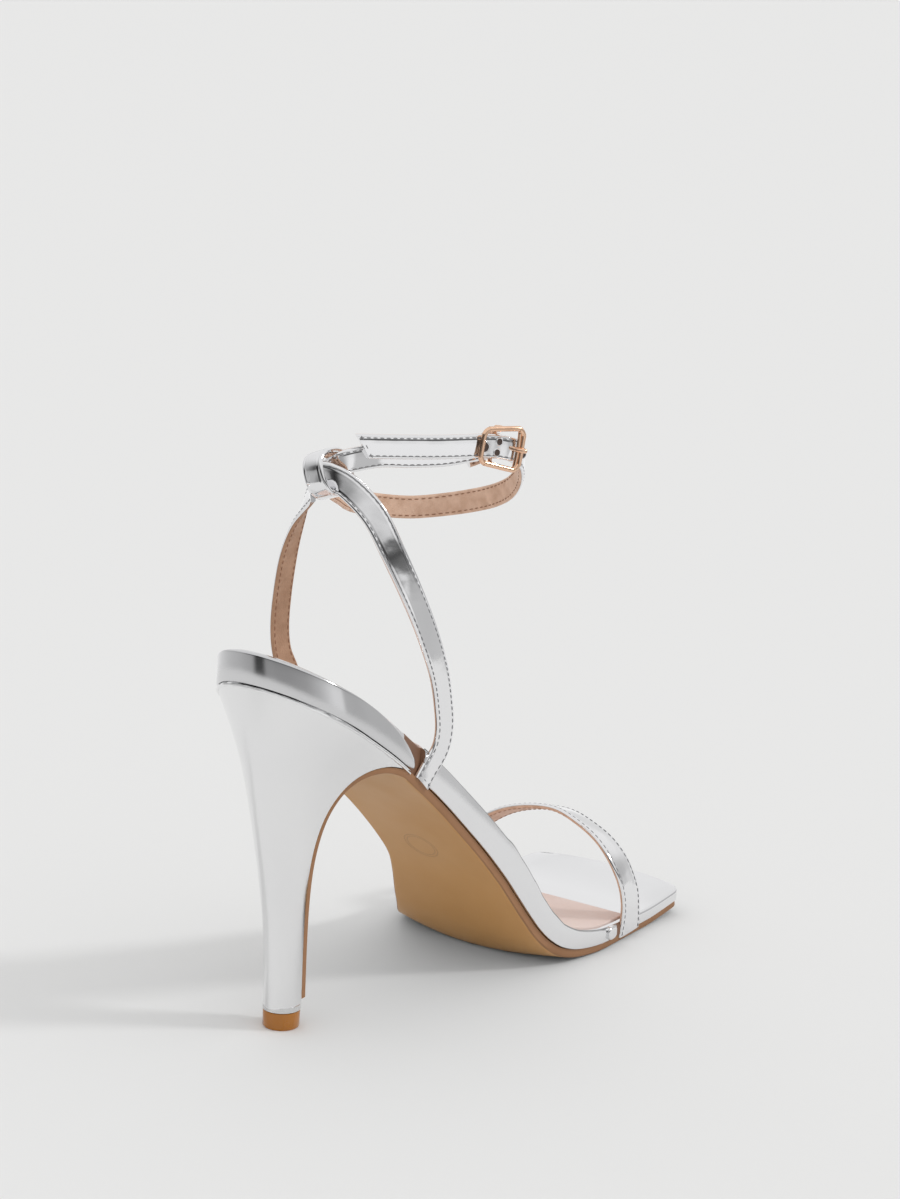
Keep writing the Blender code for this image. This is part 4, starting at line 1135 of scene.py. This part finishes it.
# Each strap is two layers: silver foil leather outside, pinkish lining inside,
# sewn together one millimetre from both edges with grey thread.  The face is a
# little padded between the two rows of stitches.
STITCH_INSET = 0.00105
PADDING = 0.00009
SEAM_OUTSIDE = 0.00035
SEAM_INSIDE = 0.0004
SEAM_DIP = 0.00012
SEAM_SWELL = 0.00002
STITCH_LENGTH = 0.0015
STITCH_PITCH = 0.0022
STITCH_RADIUS = 0.00019
STITCH_SINK = 0.00004
LINING_STITCH_SINK = 0.00002
END_STITCH_LIFT = 0.0001
STRAP_COLOURS = ((0.84, 0.84, 0.85), (0.90, 0.90, 0.91))
LINING_COLOURS = ((0.86, 0.62, 0.48), (0.46, 0.27, 0.17))
# Darker copy of the lining colour for the inner back strap: painted shade on the side that faces away from
# the light.
LINING_PAINTED_SHADE_COLOURS = ((0.52, 0.325, 0.215), (0.33, 0.19, 0.115))
THREAD_COLOURS = ((0.30, 0.30, 0.31), (0.23, 0.23, 0.24))
LINING_THREAD_COLOURS = ((0.33, 0.18, 0.11), (0.27, 0.14, 0.09))

strap_foil = coated_look(
    "strap foil", STRAP_COLOURS, 1.0, (0.04, 0.10), (0.5, 0.0011), (800.0, 45.0, 0.988), coat=0.4
)
lining = coated_look(
    "strap lining", LINING_COLOURS, 0.0, (0.42, 0.62), (0.7, 0.0003), (1500.0, 260.0, 0.3), specular=0.35
)
lining_painted_shade = coated_look(
    "lining with painted shade", LINING_PAINTED_SHADE_COLOURS, 0.0, (0.42, 0.62), (0.7, 0.0003), (1500.0, 260.0, 0.3), specular=0.3
)
thread = coated_look(
    "grey thread", THREAD_COLOURS, 0.0, (0.55, 0.7), (0.4, 0.0001), (4000.0, 800.0, 0.3), specular=0.25
)
lining_thread = coated_look(
    "brown thread", LINING_THREAD_COLOURS, 0.0, (0.6, 0.75), (0.4, 0.0001), (4000.0, 800.0, 0.3), specular=0.2
)


def strap_section(width):
    """Points (across, out) right round a sewn strap, and which finish each one takes."""
    half = 0.5 * width
    deep = 0.5 * STRAP_THICKNESS
    soft = 0.45 * STRAP_THICKNESS
    seam = half - STITCH_INSET
    outer = [(seam + SEAM_OUTSIDE, deep), (seam, deep - SEAM_DIP), (seam - SEAM_INSIDE, deep + SEAM_SWELL)]
    for share in (0.8, 0.6, 0.4, 0.2):
        outer.append((share * (seam - SEAM_INSIDE), deep + PADDING * (1.0 - share**2)))
    corner = [(half - soft * inward, deep - soft * drop) for inward, drop in quarter(4)]
    face = corner + outer + [(0.0, deep + PADDING)]
    face += [(-a, b) for a, b in reversed(outer)] + [(-a, b) for a, b in reversed(corner)]
    groove = [(-half + 0.00012, -0.02 * STRAP_THICKNESS), (-half, -0.1 * STRAP_THICKNESS)]
    back = [(-half + 0.0002, -deep + 0.0003), (-half + 0.0005, -deep)]
    under = [(-a, -deep + 0.00006) for a in (seam, 0.0, -seam)]
    inner = groove + back + under + [(-a, b) for a, b in reversed(groove + back)]
    return face + inner, [0] * len(face) + [1] * len(inner)


def open_line(points, steps):
    """Even samples of a smooth curve through all the points."""
    first = 2 * np.asarray(points[0]) - np.asarray(points[1])
    last = 2 * np.asarray(points[-1]) - np.asarray(points[-2])
    return catmull([first, *points, last], steps)


def band_frames(points, normals, steps):
    """Smooth middle line of a strap with its sides and faces."""
    line = open_line(points, steps)
    faces_to = catmull([normals[0], *normals, normals[-1]], steps)
    frames = []
    for index, point in enumerate(line):
        before = Vector(line[max(index - 1, 0)])
        after = Vector(line[min(index + 1, len(line) - 1)])
        along = (after - before).normalized()
        face = Vector(faces_to[index])
        face = (face - along * face.dot(along)).normalized()
        frames.append((Vector(point), along, along.cross(face), face))
    return frames


def stitch_tree():
    """Geometry nodes: evenly spaced thread stitches along sewing lines."""
    tree = bpy.data.node_groups.new("stitches", "GeometryNodeTree")
    tree.interface.new_socket("Lines", in_out="INPUT", socket_type="NodeSocketGeometry")
    for name, value in (("Pitch", STITCH_PITCH), ("Length", STITCH_LENGTH), ("Radius", STITCH_RADIUS)):
        socket = tree.interface.new_socket(name, in_out="INPUT", socket_type="NodeSocketFloat")
        socket.default_value = value
    tree.interface.new_socket("Thread", in_out="INPUT", socket_type="NodeSocketMaterial")
    tree.interface.new_socket("Stitches", in_out="OUTPUT", socket_type="NodeSocketGeometry")
    given = add_node(tree, "NodeGroupInput").outputs
    out = add_node(tree, "NodeGroupOutput")
    spacing = {"Curve": given["Lines"], "Length": given["Pitch"]}
    spread = add_node(tree, "GeometryNodeResampleCurve", spacing, mode="LENGTH")
    bead = add_node(tree, "GeometryNodeMeshUVSphere", {"Segments": 6, "Rings": 6, "Radius": 1.0})
    half = add_node(tree, "ShaderNodeMath", {0: given["Length"], 1: 0.5}, operation="MULTIPLY")
    thick = given["Radius"]
    size = add_node(tree, "ShaderNodeCombineXYZ", {"X": thick, "Y": thick, "Z": half})
    tangent = add_node(tree, "GeometryNodeInputTangent")
    turned = add_node(tree, "FunctionNodeAlignRotationToVector", {"Vector": tangent}, axis="Z")
    each = {"Points": spread, "Instance": bead, "Rotation": turned, "Scale": size}
    put = add_node(tree, "GeometryNodeInstanceOnPoints", each)
    real = add_node(tree, "GeometryNodeRealizeInstances", {0: put})
    colour = add_node(tree, "GeometryNodeSetMaterial", {"Geometry": real, "Material": given["Thread"]})
    feed(tree, out, {"Stitches": colour})
    return tree


stitches = stitch_tree()


def sew(name, lines, look):
    """Runs stitches along lines of points, measured from the back of the seat."""
    data = bpy.data.curves.new(name + "_lines", "CURVE")
    data.dimensions = "3D"
    for line in lines:
        spline = data.splines.new("POLY")
        spline.points.add(len(line) - 1)
        for point, (x, y, z) in zip(spline.points, line):
            point.co = (x - TIP_SETBACK, y, z, 1.0)
    guide = bpy.data.objects.new(name + "_guide", data)
    bpy.context.scene.collection.objects.link(guide)
    run = guide.modifiers.new("stitches", "NODES")
    run.node_group = stitches
    sockets = {s.name: s.identifier for s in stitches.interface.items_tree if s.in_out == "INPUT"}
    run[sockets["Thread"]] = look
    run[sockets["Pitch"]] = STITCH_PITCH
    run[sockets["Length"]] = STITCH_LENGTH
    run[sockets["Radius"]] = STITCH_RADIUS
    bpy.context.view_layer.update()
    shown = guide.evaluated_get(bpy.context.evaluated_depsgraph_get())
    mesh = bpy.data.meshes.new_from_object(shown)
    mesh.shade_smooth()
    bpy.data.objects.remove(guide, do_unlink=True)
    sewn = bpy.data.objects.new(name, mesh)
    bpy.context.scene.collection.objects.link(sewn)
    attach(sewn, "root")


def make_band(name, node, frames, width, sewn_ends, slant=0.0, bare_end=0.0, back=lining):
    """Sewn strap along the frames, with its stitches on the face and the lining."""
    section, kinds = strap_section(width)
    reach = [0.0]
    for (before, *_), (after, *_) in zip(frames, frames[1:]):
        reach.append(reach[-1] + (after - before).length)
    fade = 2.5 * width

    def spot(index, across, out):
        """Point of the strap; its last end is cut on a slant."""
        point, along, side, face = frames[index]
        near_end = max(1.0 - (reach[-1] - reach[index]) / fade, 0.0)
        return tuple(point + side * across + face * out + along * (slant * across * near_end))

    loops = [[spot(index, across, out) for across, out in section] for index in range(len(frames))]

    def look_of(_, index):
        return kinds[index]

    band = skin(name, loops, [strap_foil, back], look_of=look_of)
    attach(band, "root")
    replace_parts(band, node)
    seam = 0.5 * width - STITCH_INSET
    last = reach[-1] - max(STITCH_INSET, bare_end)
    inside = [index for index in range(len(frames)) if STITCH_INSET < reach[index] < last]
    for suffix, look, out in (
        ("_stitches", thread, 0.5 * STRAP_THICKNESS - STITCH_SINK),
        ("_lining_stitches", lining_thread, -0.5 * STRAP_THICKNESS + LINING_STITCH_SINK),
    ):
        lines = [[spot(index, across, out) for index in inside] for across in (-seam, seam)]
        for sewn, index in zip(sewn_ends, (inside[0], inside[-1])):
            if sewn:
                shares = (-1.0, -0.5, 0.0, 0.5, 1.0)
                lines.append([spot(index, share * seam, out + END_STITCH_LIFT) for share in shares])
        sew(name + suffix, lines, look)


# The toe strap goes over the toes from edge to edge of the insole, and its ends
# are tucked between insole and outsole.
TOE_STRAP_RISE = 0.0400
TOE_STRAP_LEAN = 0.27
TOE_STRAP_SINK = 0.0008
TOE_STRAP_ROWS = (
    # across, rise, forward
    (-1.000, 0.00, 0.10),
    (-1.018, 0.20, 0.05),
    (-1.030, 0.42, -0.10),
    (-0.960, 0.66, -0.30),
    (-0.780, 0.84, -0.32),
    (-0.520, 0.95, -0.25),
    (-0.220, 1.00, -0.10),
    (0.130, 0.96, 0.00),
    (0.440, 0.86, 0.05),
    (0.700, 0.70, 0.05),
    (0.890, 0.50, 0.02),
    (0.990, 0.30, 0.00),
    (1.010, 0.14, 0.00),
    (1.000, 0.00, 0.00),
)
EDGE_OFFSET = 0.5 * STRAP_THICKNESS + GAP - STRAP_INSET


def make_toe_strap():
    place = TOE_STRAP_ALONG * PLAN_LENGTH
    left, right = half_widths(place)
    base = profile_curve(place) + 0.5 * GAP
    foot = profile_curve(place) - 2.0 * STRAP_THICKNESS
    points = []
    normals = []
    for across, rise, forward in TOE_STRAP_ROWS:
        half = left if across < 0 else right
        y = across * (half + EDGE_OFFSET)
        z = max(foot + rise * (TOE_STRAP_RISE - foot), base - TOE_STRAP_SINK)
        points.append((place + forward * TOE_STRAP_WIDTH, y, z))
        bow = math.atan2(rise * 1.2, abs(across) + 0.02)
        normals.append((TOE_STRAP_LEAN * rise**2, math.copysign(math.cos(bow), across), math.sin(bow)))
    frames = band_frames(points, normals, 14)
    make_band("toe_band", "toe_strap", frames, TOE_STRAP_WIDTH, (False, False))


make_toe_strap()

# Two back straps rise from the insole's edges to the loop behind the ankle.
# The loop is a short strap folded round and sewn to both of them.
LOOP_HEIGHT = 0.0148
LOOP_DEPTH = 0.0155
LOOP_WIDTH = 0.0075
LOOP_TILT = -20.0
LOOP_SQUARENESS = 0.75
LOOP_DROP = 0.0011
LOOP_FORWARD = 0.0008
LOOP_SETBACK = 0.0209
LOOP_CENTRE_HEIGHT = 0.1726
LOOP_CENTRE = (BACK_STRAP_ALONG * PLAN_LENGTH - LOOP_SETBACK, 0.0, LOOP_CENTRE_HEIGHT)
LOOP_HIDES = 0.0055
HIDDEN_FOOT = 0.001
BACK_TURN_TILT = 0.12
LATERAL_ROWS = (
    # along, across, height, back_turn
    (-0.025, -0.500, -0.060, 0.05),
    (0.034, -0.503, 0.015, 0.05),
    (0.076, -0.526, 0.085, 0.08),
    (0.081, -0.543, 0.160, 0.10),
    (0.055, -0.564, 0.255, 0.12),
    (0.015, -0.591, 0.350, 0.15),
    (-0.027, -0.604, 0.435, 0.18),
    (-0.070, -0.586, 0.540, 0.26),
    (-0.114, -0.541, 0.655, 0.38),
    (-0.151, -0.462, 0.775, 0.55),
    (-0.171, -0.356, 0.880, 0.80),
    (-0.188, -0.200, 0.955, 1.30),
    (-0.202, -0.075, 0.985, 1.80),
    (-0.243, 0.010, 1.000, 1.80),
)
MEDIAL_ROWS = (
    # along, across, height, back_turn
    (-0.025, 0.450, -0.060, 0.00),
    (0.004, 0.452, 0.015, 0.00),
    (0.022, 0.474, 0.090, -0.02),
    (0.013, 0.505, 0.175, -0.04),
    (-0.010, 0.540, 0.260, -0.06),
    (-0.032, 0.566, 0.330, -0.08),
    (-0.043, 0.571, 0.420, -0.10),
    (-0.047, 0.552, 0.535, -0.10),
    (-0.059, 0.498, 0.660, -0.08),
    (-0.082, 0.415, 0.755, 0.00),
    (-0.114, 0.301, 0.845, 0.30),
    (-0.161, 0.165, 0.915, 1.00),
    (-0.217, 0.060, 0.940, 2.20),
)


def back_strap_frames(rows, side):
    place = BACK_STRAP_ALONG * PLAN_LENGTH
    base = profile_curve(place)
    left, right = half_widths(place)
    anchor = side * ((left if side < 0 else right) + EDGE_OFFSET)
    first_across = rows[1][1] * SEAT_WIDTH
    points = []
    normals = []
    for along, across, height, back_turn in rows:
        x = place + along * SEAT_HEIGHT
        y = anchor + across * SEAT_WIDTH - first_across
        z = base + height * (LOOP_CENTRE_HEIGHT - base)
        points.append((x, y, z))
        normals.append((-back_turn, side, BACK_TURN_TILT * back_turn))
    frames = band_frames(points, normals, 14)
    return [f for f in frames if f[0].z > profile_curve(f[0].x) - HIDDEN_FOOT]


def make_back_straps():
    for name, rows, side, back in (
        ("outer", LATERAL_ROWS, -1.0, lining),
        # The inner strap's lining takes the darker copy: painted shade.
        ("inner", MEDIAL_ROWS, 1.0, lining_painted_shade),
    ):
        frames = back_strap_frames(rows, side)
        make_band(
            name + "_back_strap", "back_strap", frames, BACK_STRAP_WIDTH, (True, False),
            bare_end=LOOP_HIDES, back=back,
        )


def make_loop():
    centre_x, centre_y, centre_z = LOOP_CENTRE
    middle = Vector((centre_x + LOOP_FORWARD, centre_y, centre_z - LOOP_DROP))
    half_x = 0.5 * (LOOP_DEPTH - STRAP_THICKNESS)
    half_z = 0.5 * (LOOP_HEIGHT - STRAP_THICKNESS)
    tilt = Matrix.Rotation(math.radians(LOOP_TILT), 3, "X")
    section, _ = strap_section(LOOP_WIDTH)
    loops = []
    for cos, sin in circle(96):
        x = half_x * math.copysign(abs(cos) ** LOOP_SQUARENESS, cos)
        z = half_z * math.copysign(abs(sin) ** LOOP_SQUARENESS, sin)
        outward = Vector((cos / half_x, 0.0, sin / half_z)).normalized()
        loops.append([tuple(middle + tilt @ (Vector((x, a, z)) + outward * b)) for a, b in section])
    loop = skin("back_loop", loops, [strap_foil], closed=True)
    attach(loop, "root")


make_back_straps()
make_loop()

# The ankle strap is one long strap: folded round the buckle's bar, back through
# the loop, round the front of the ankle and through the buckle to its tail.
ANKLE_STRAP_WIDTH = 0.0075
BUCKLE_LENGTH = 0.0158
BUCKLE_HEIGHT = 0.0135
BUCKLE_TAPER = 0.0010
BUCKLE_CORNER = 0.0026
WIRE_RADIUS = 0.00085
BAR_RADIUS = 0.00065
PRONG_RADIUS = 0.00075
TAIL_LIFT = 0.0030
FOLD_END_DROP = 0.0038
BUCKLE_ROW = 4.02
BACK_BEND_RADIUS = 0.0060
BACK_BEND_FORWARD = 0.0078
BACK_BEND_LIFT = -0.0004
BACK_BEND_SLOPE = -0.68
TAIL_SLANT = 0.70
RING_ROWS = (
    # forward, side, height
    (0.052, -0.058, 0.067),
    (0.152, -0.112, 0.061),
    (0.263, -0.172, 0.056),
    (0.367, -0.228, 0.055),
    (0.429, -0.257, 0.050),
    (0.478, -0.275, 0.037),
    (0.536, -0.264, 0.008),
    (0.598, -0.222, -0.050),
    (0.658, -0.156, -0.105),
    (0.704, -0.076, -0.146),
    (0.728, 0.010, -0.177),
    (0.713, 0.105, -0.203),
    (0.657, 0.185, -0.216),
    (0.572, 0.235, -0.207),
    (0.467, 0.243, -0.184),
    (0.357, 0.203, -0.152),
    (0.238, 0.138, -0.113),
    (0.122, 0.080, -0.073),
    (0.050, 0.052, -0.042),
)


def ring_point(row_place):
    """Point of the ring's middle line and its outward side."""
    rows = [np.array(row) * SEAT_HEIGHT for row in RING_ROWS]
    row = min(int(row_place), len(rows) - 2)
    t = row_place - row
    a, b, c, d = rows[max(row - 1, 0)], rows[row], rows[row + 1], rows[min(row + 2, len(rows) - 1)]
    bend, twist = bends(a, b, c, d)
    point = 0.5 * (2 * b + (c - a) * t + bend * t**2 + twist * t**3)
    slope = 0.5 * ((c - a) + 2 * bend * t + 3 * twist * t**2)
    outward = Vector((slope[1], -slope[0], 0.0)).normalized()
    return Vector(LOOP_CENTRE) + Vector(point), outward


def buckle_frame_axes():
    """Centre of the buckle, with its long, upright and outward directions."""
    centre, _ = ring_point(BUCKLE_ROW)
    before, _ = ring_point(BUCKLE_ROW - 0.35)
    after, _ = ring_point(BUCKLE_ROW + 0.35)
    along = (after - before).normalized()
    outward = along.cross(Vector((0.0, 0.0, 1.0))).normalized()
    return centre, along, outward.cross(along).normalized(), outward


BAND_PITCH = STRAP_THICKNESS + GAP
BAR_DEPTH = -(BAND_PITCH + 0.5 * STRAP_THICKNESS + GAP + BAR_RADIUS)


def make_ankle_strap():
    centre, along, _, outward = buckle_frame_axes()
    turn = BAR_RADIUS + GAP + 0.5 * STRAP_THICKNESS
    points = []
    normals = []

    def add(row_place, offset, lift, flip=False):
        point, out = ring_point(row_place)
        points.append(tuple(point + out * offset + Vector((0, 0, lift))))
        normals.append(tuple(-out if flip else out))

    inner = BAR_DEPTH - turn
    for back, share in ((1.12, 0.0), (0.65, 0.35), (0.25, 0.9)):
        offset = -2.0 * BAND_PITCH + (inner + 2.0 * BAND_PITCH) * share
        add(BUCKLE_ROW - back, offset, -FOLD_END_DROP * (1.0 - share), flip=True)
    for angle in (-90, -45, 0, 45, 90):
        bend = math.radians(angle)
        reach = along * (turn * math.cos(bend)) + outward * (BAR_DEPTH + turn * math.sin(bend))
        points.append(tuple(centre + reach))
        normals.append(tuple(along * math.cos(bend) + outward * math.sin(bend)))
    for back in (0.5, 1.0, 1.8, 2.6, 3.3):
        add(BUCKLE_ROW - back, -BAND_PITCH, -TAIL_LIFT * min(back / 2.0, 1.0))
    centre_x, centre_y, centre_z = LOOP_CENTRE
    for angle in (238, 208, 180, 150, 120):
        bend = math.radians(angle)
        x = centre_x + BACK_BEND_FORWARD + BACK_BEND_RADIUS * math.cos(bend)
        y = centre_y + BACK_BEND_RADIUS * math.sin(bend)
        points.append((x, y, centre_z + BACK_BEND_LIFT + BACK_BEND_SLOPE * y))
        normals.append((math.cos(bend), math.sin(bend), 0.0))
    for row_place in range(len(RING_ROWS) - 2, 4, -1):
        add(float(row_place), 0.0, 0.0)
    for row_place in (4.6, BUCKLE_ROW, 3.6, 3.0, 2.0, 1.0, 0.2):
        add(row_place, 0.0, 0.0)
    frames = band_frames(points, normals, 10)
    make_band("ankle_band", "ankle_strap", frames, ANKLE_STRAP_WIDTH, (True, True), slant=TAIL_SLANT)


make_ankle_strap()

# The buckle is a bent rose-gold wire frame with a lower centre bar that the
# strap is folded round, and a prong that lies over the bar through a punched
# hole.  The tail's marks are thin discs with a raised rim of foil, their
# middles near black as painted shade inside the holes.
BAR_ROWS = (
    # upward, outward
    (-1.00, 1.00),
    (-1.00, 0.45),
    (-0.93, 0.10),
    (-0.80, 0.00),
    (0.80, 0.00),
    (0.93, 0.10),
    (1.00, 0.45),
    (1.00, 1.00),
)
GOLD_COLOURS = ((0.84, 0.54, 0.37), (0.90, 0.61, 0.43))
# Near-black middles of the punched holes: painted shade inside the openings.
HOLE_SHADE_COLOURS = ((0.05, 0.035, 0.03), (0.08, 0.05, 0.04))
INNER_WIRE_BOW = 0.0004
# Punched marks of the tail: along, upward, radius
HOLE_ROWS = (
    (-0.0105, 0.0000, 0.0012),
    (0.0006, 0.0017, 0.0009),
    (0.0008, -0.0017, 0.0009),
    (0.0052, -0.0002, 0.0013),
)
# Steps of a mark from its foil rim inward: share of the radius, height
HOLE_STEPS = (
    (1.45, 0.0),
    (1.3, 0.00012),
    (1.1, 0.00012),
    (0.98, 0.00005),
    (0.5, 0.00003),
    (0.05, 0.00003),
)
HOLE_LIFT = 0.0001
RING_ROW_LENGTH = 0.061

gold = coated_look(
    "rose gold", GOLD_COLOURS, 1.0, (0.14, 0.22), (0.1, 0.0001), (900.0, 200.0, 0.6)
)
punched = coated_look(
    "painted shade in punched hole", HOLE_SHADE_COLOURS, 0.0, (0.6, 0.8), (0.2, 0.0001), (900.0, 200.0, 0.5)
)


def wire(name, points, radius, closed):
    """Round wire through the points, with soft ends where it is open."""
    if closed:
        line = catmull([points[-1], *points, points[0], points[1]], 4)[:-1]
    else:
        line = open_line(points, 6)
    count = len(line)
    loops = []
    for index, point in enumerate(line):
        before = line[index - 1] if closed else line[max(index - 1, 0)]
        after = line[(index + 1) % count] if closed else line[min(index + 1, count - 1)]
        along = (Vector(after) - Vector(before)).normalized()
        side = along.cross(Vector((0.13, 0.21, 0.97))).normalized()
        other = along.cross(side).normalized()
        near = min(index, count - 1 - index)
        here = radius if closed else radius * (0.55, 0.85, 1.0)[min(near, 2)]
        loops.append([tuple(Vector(point) + (side * cos + other * sin) * here) for cos, sin in circle(16)])
    made = skin(name, loops, [gold], closed=closed)
    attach(made, "root")
    return made


def make_buckle():
    centre, along, upward, outward = buckle_frame_axes()
    level = 0.5 * STRAP_THICKNESS + GAP + WIRE_RADIUS
    half_length = 0.5 * BUCKLE_LENGTH - WIRE_RADIUS
    half_height = 0.5 * BUCKLE_HEIGHT - WIRE_RADIUS
    outline = []
    for turn_x, turn_z, start in ((1, 1, 0), (-1, 1, 90), (-1, -1, 180), (1, -1, 270)):
        taper = BUCKLE_TAPER * turn_x * 0.5
        for step in range(5):
            angle = math.radians(start + 90 * step / 4)
            x = turn_x * (half_length - BUCKLE_CORNER) + BUCKLE_CORNER * math.cos(angle)
            z = turn_z * (half_height + taper - BUCKLE_CORNER) + BUCKLE_CORNER * math.sin(angle)
            outline.append(tuple(centre + along * x + upward * z + outward * level))
    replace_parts(wire("buckle_wire", outline, WIRE_RADIUS, True), "buckle_frame")
    inner_line = []
    for share in (-1.0, -0.6, 0.0, 0.6, 1.0):
        bow = INNER_WIRE_BOW * (1.0 - share**2)
        x = half_length - 1.9 * WIRE_RADIUS + bow
        inner_line.append(tuple(centre + along * x + upward * (share * half_height) + outward * level))
    wire("buckle_inner_wire", inner_line, 0.7 * WIRE_RADIUS, False)
    bar_line = []
    for share_up, share_out in BAR_ROWS:
        depth = BAR_DEPTH + (level - BAR_DEPTH) * share_out
        bar_line.append(tuple(centre + upward * (half_height * share_up) + outward * depth))
    wire("buckle_bar", bar_line, BAR_RADIUS, False)
    fold_front = BAR_RADIUS + 2.0 * GAP + STRAP_THICKNESS + PRONG_RADIUS
    sweep = WIRE_RADIUS + PRONG_RADIUS + GAP
    hole = half_length - sweep
    route = [
        (fold_front, BAR_DEPTH + 0.3 * STRAP_THICKNESS),
        (0.5 * (fold_front + hole), BAR_DEPTH + 0.5 * STRAP_THICKNESS),
        (hole, BAR_DEPTH + 1.1 * STRAP_THICKNESS),
        (hole, -0.2 * STRAP_THICKNESS),
    ]
    for angle in (180, 150, 120, 90, 68):
        bend = math.radians(angle)
        route.append((half_length + sweep * math.cos(bend), level + sweep * math.sin(bend)))
    prong = [tuple(centre + along * x + outward * depth) for x, depth in route]
    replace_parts(wire("buckle_tongue", prong, PRONG_RADIUS, False), "buckle_prong")


def make_holes():
    """Punched holes of the tail, each with a thin raised rim of foil round a dark disc of painted shade."""
    _, along, upward, _ = buckle_frame_axes()
    base = 0.5 * STRAP_THICKNESS + HOLE_LIFT

    def look_of(row, index):
        return 0 if row < 2 else 1

    for number, (along_strap, upward_strap, radius) in enumerate(HOLE_ROWS, 1):
        middle, face = ring_point(BUCKLE_ROW - along_strap / (RING_ROW_LENGTH * SEAT_HEIGHT))
        side = face.cross(along).normalized()
        middle = middle + upward * upward_strap
        loops = []
        for reach, out in HOLE_STEPS:
            loops.append([
                tuple(middle + (along * cos - side * sin) * (radius * reach) + face * (base + out))
                for cos, sin in circle(20)
            ])
        hole = skin("strap_hole_%d" % number, loops, [strap_foil, punched], look_of=look_of)
        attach(hole, "root")


make_buckle()
make_holes()
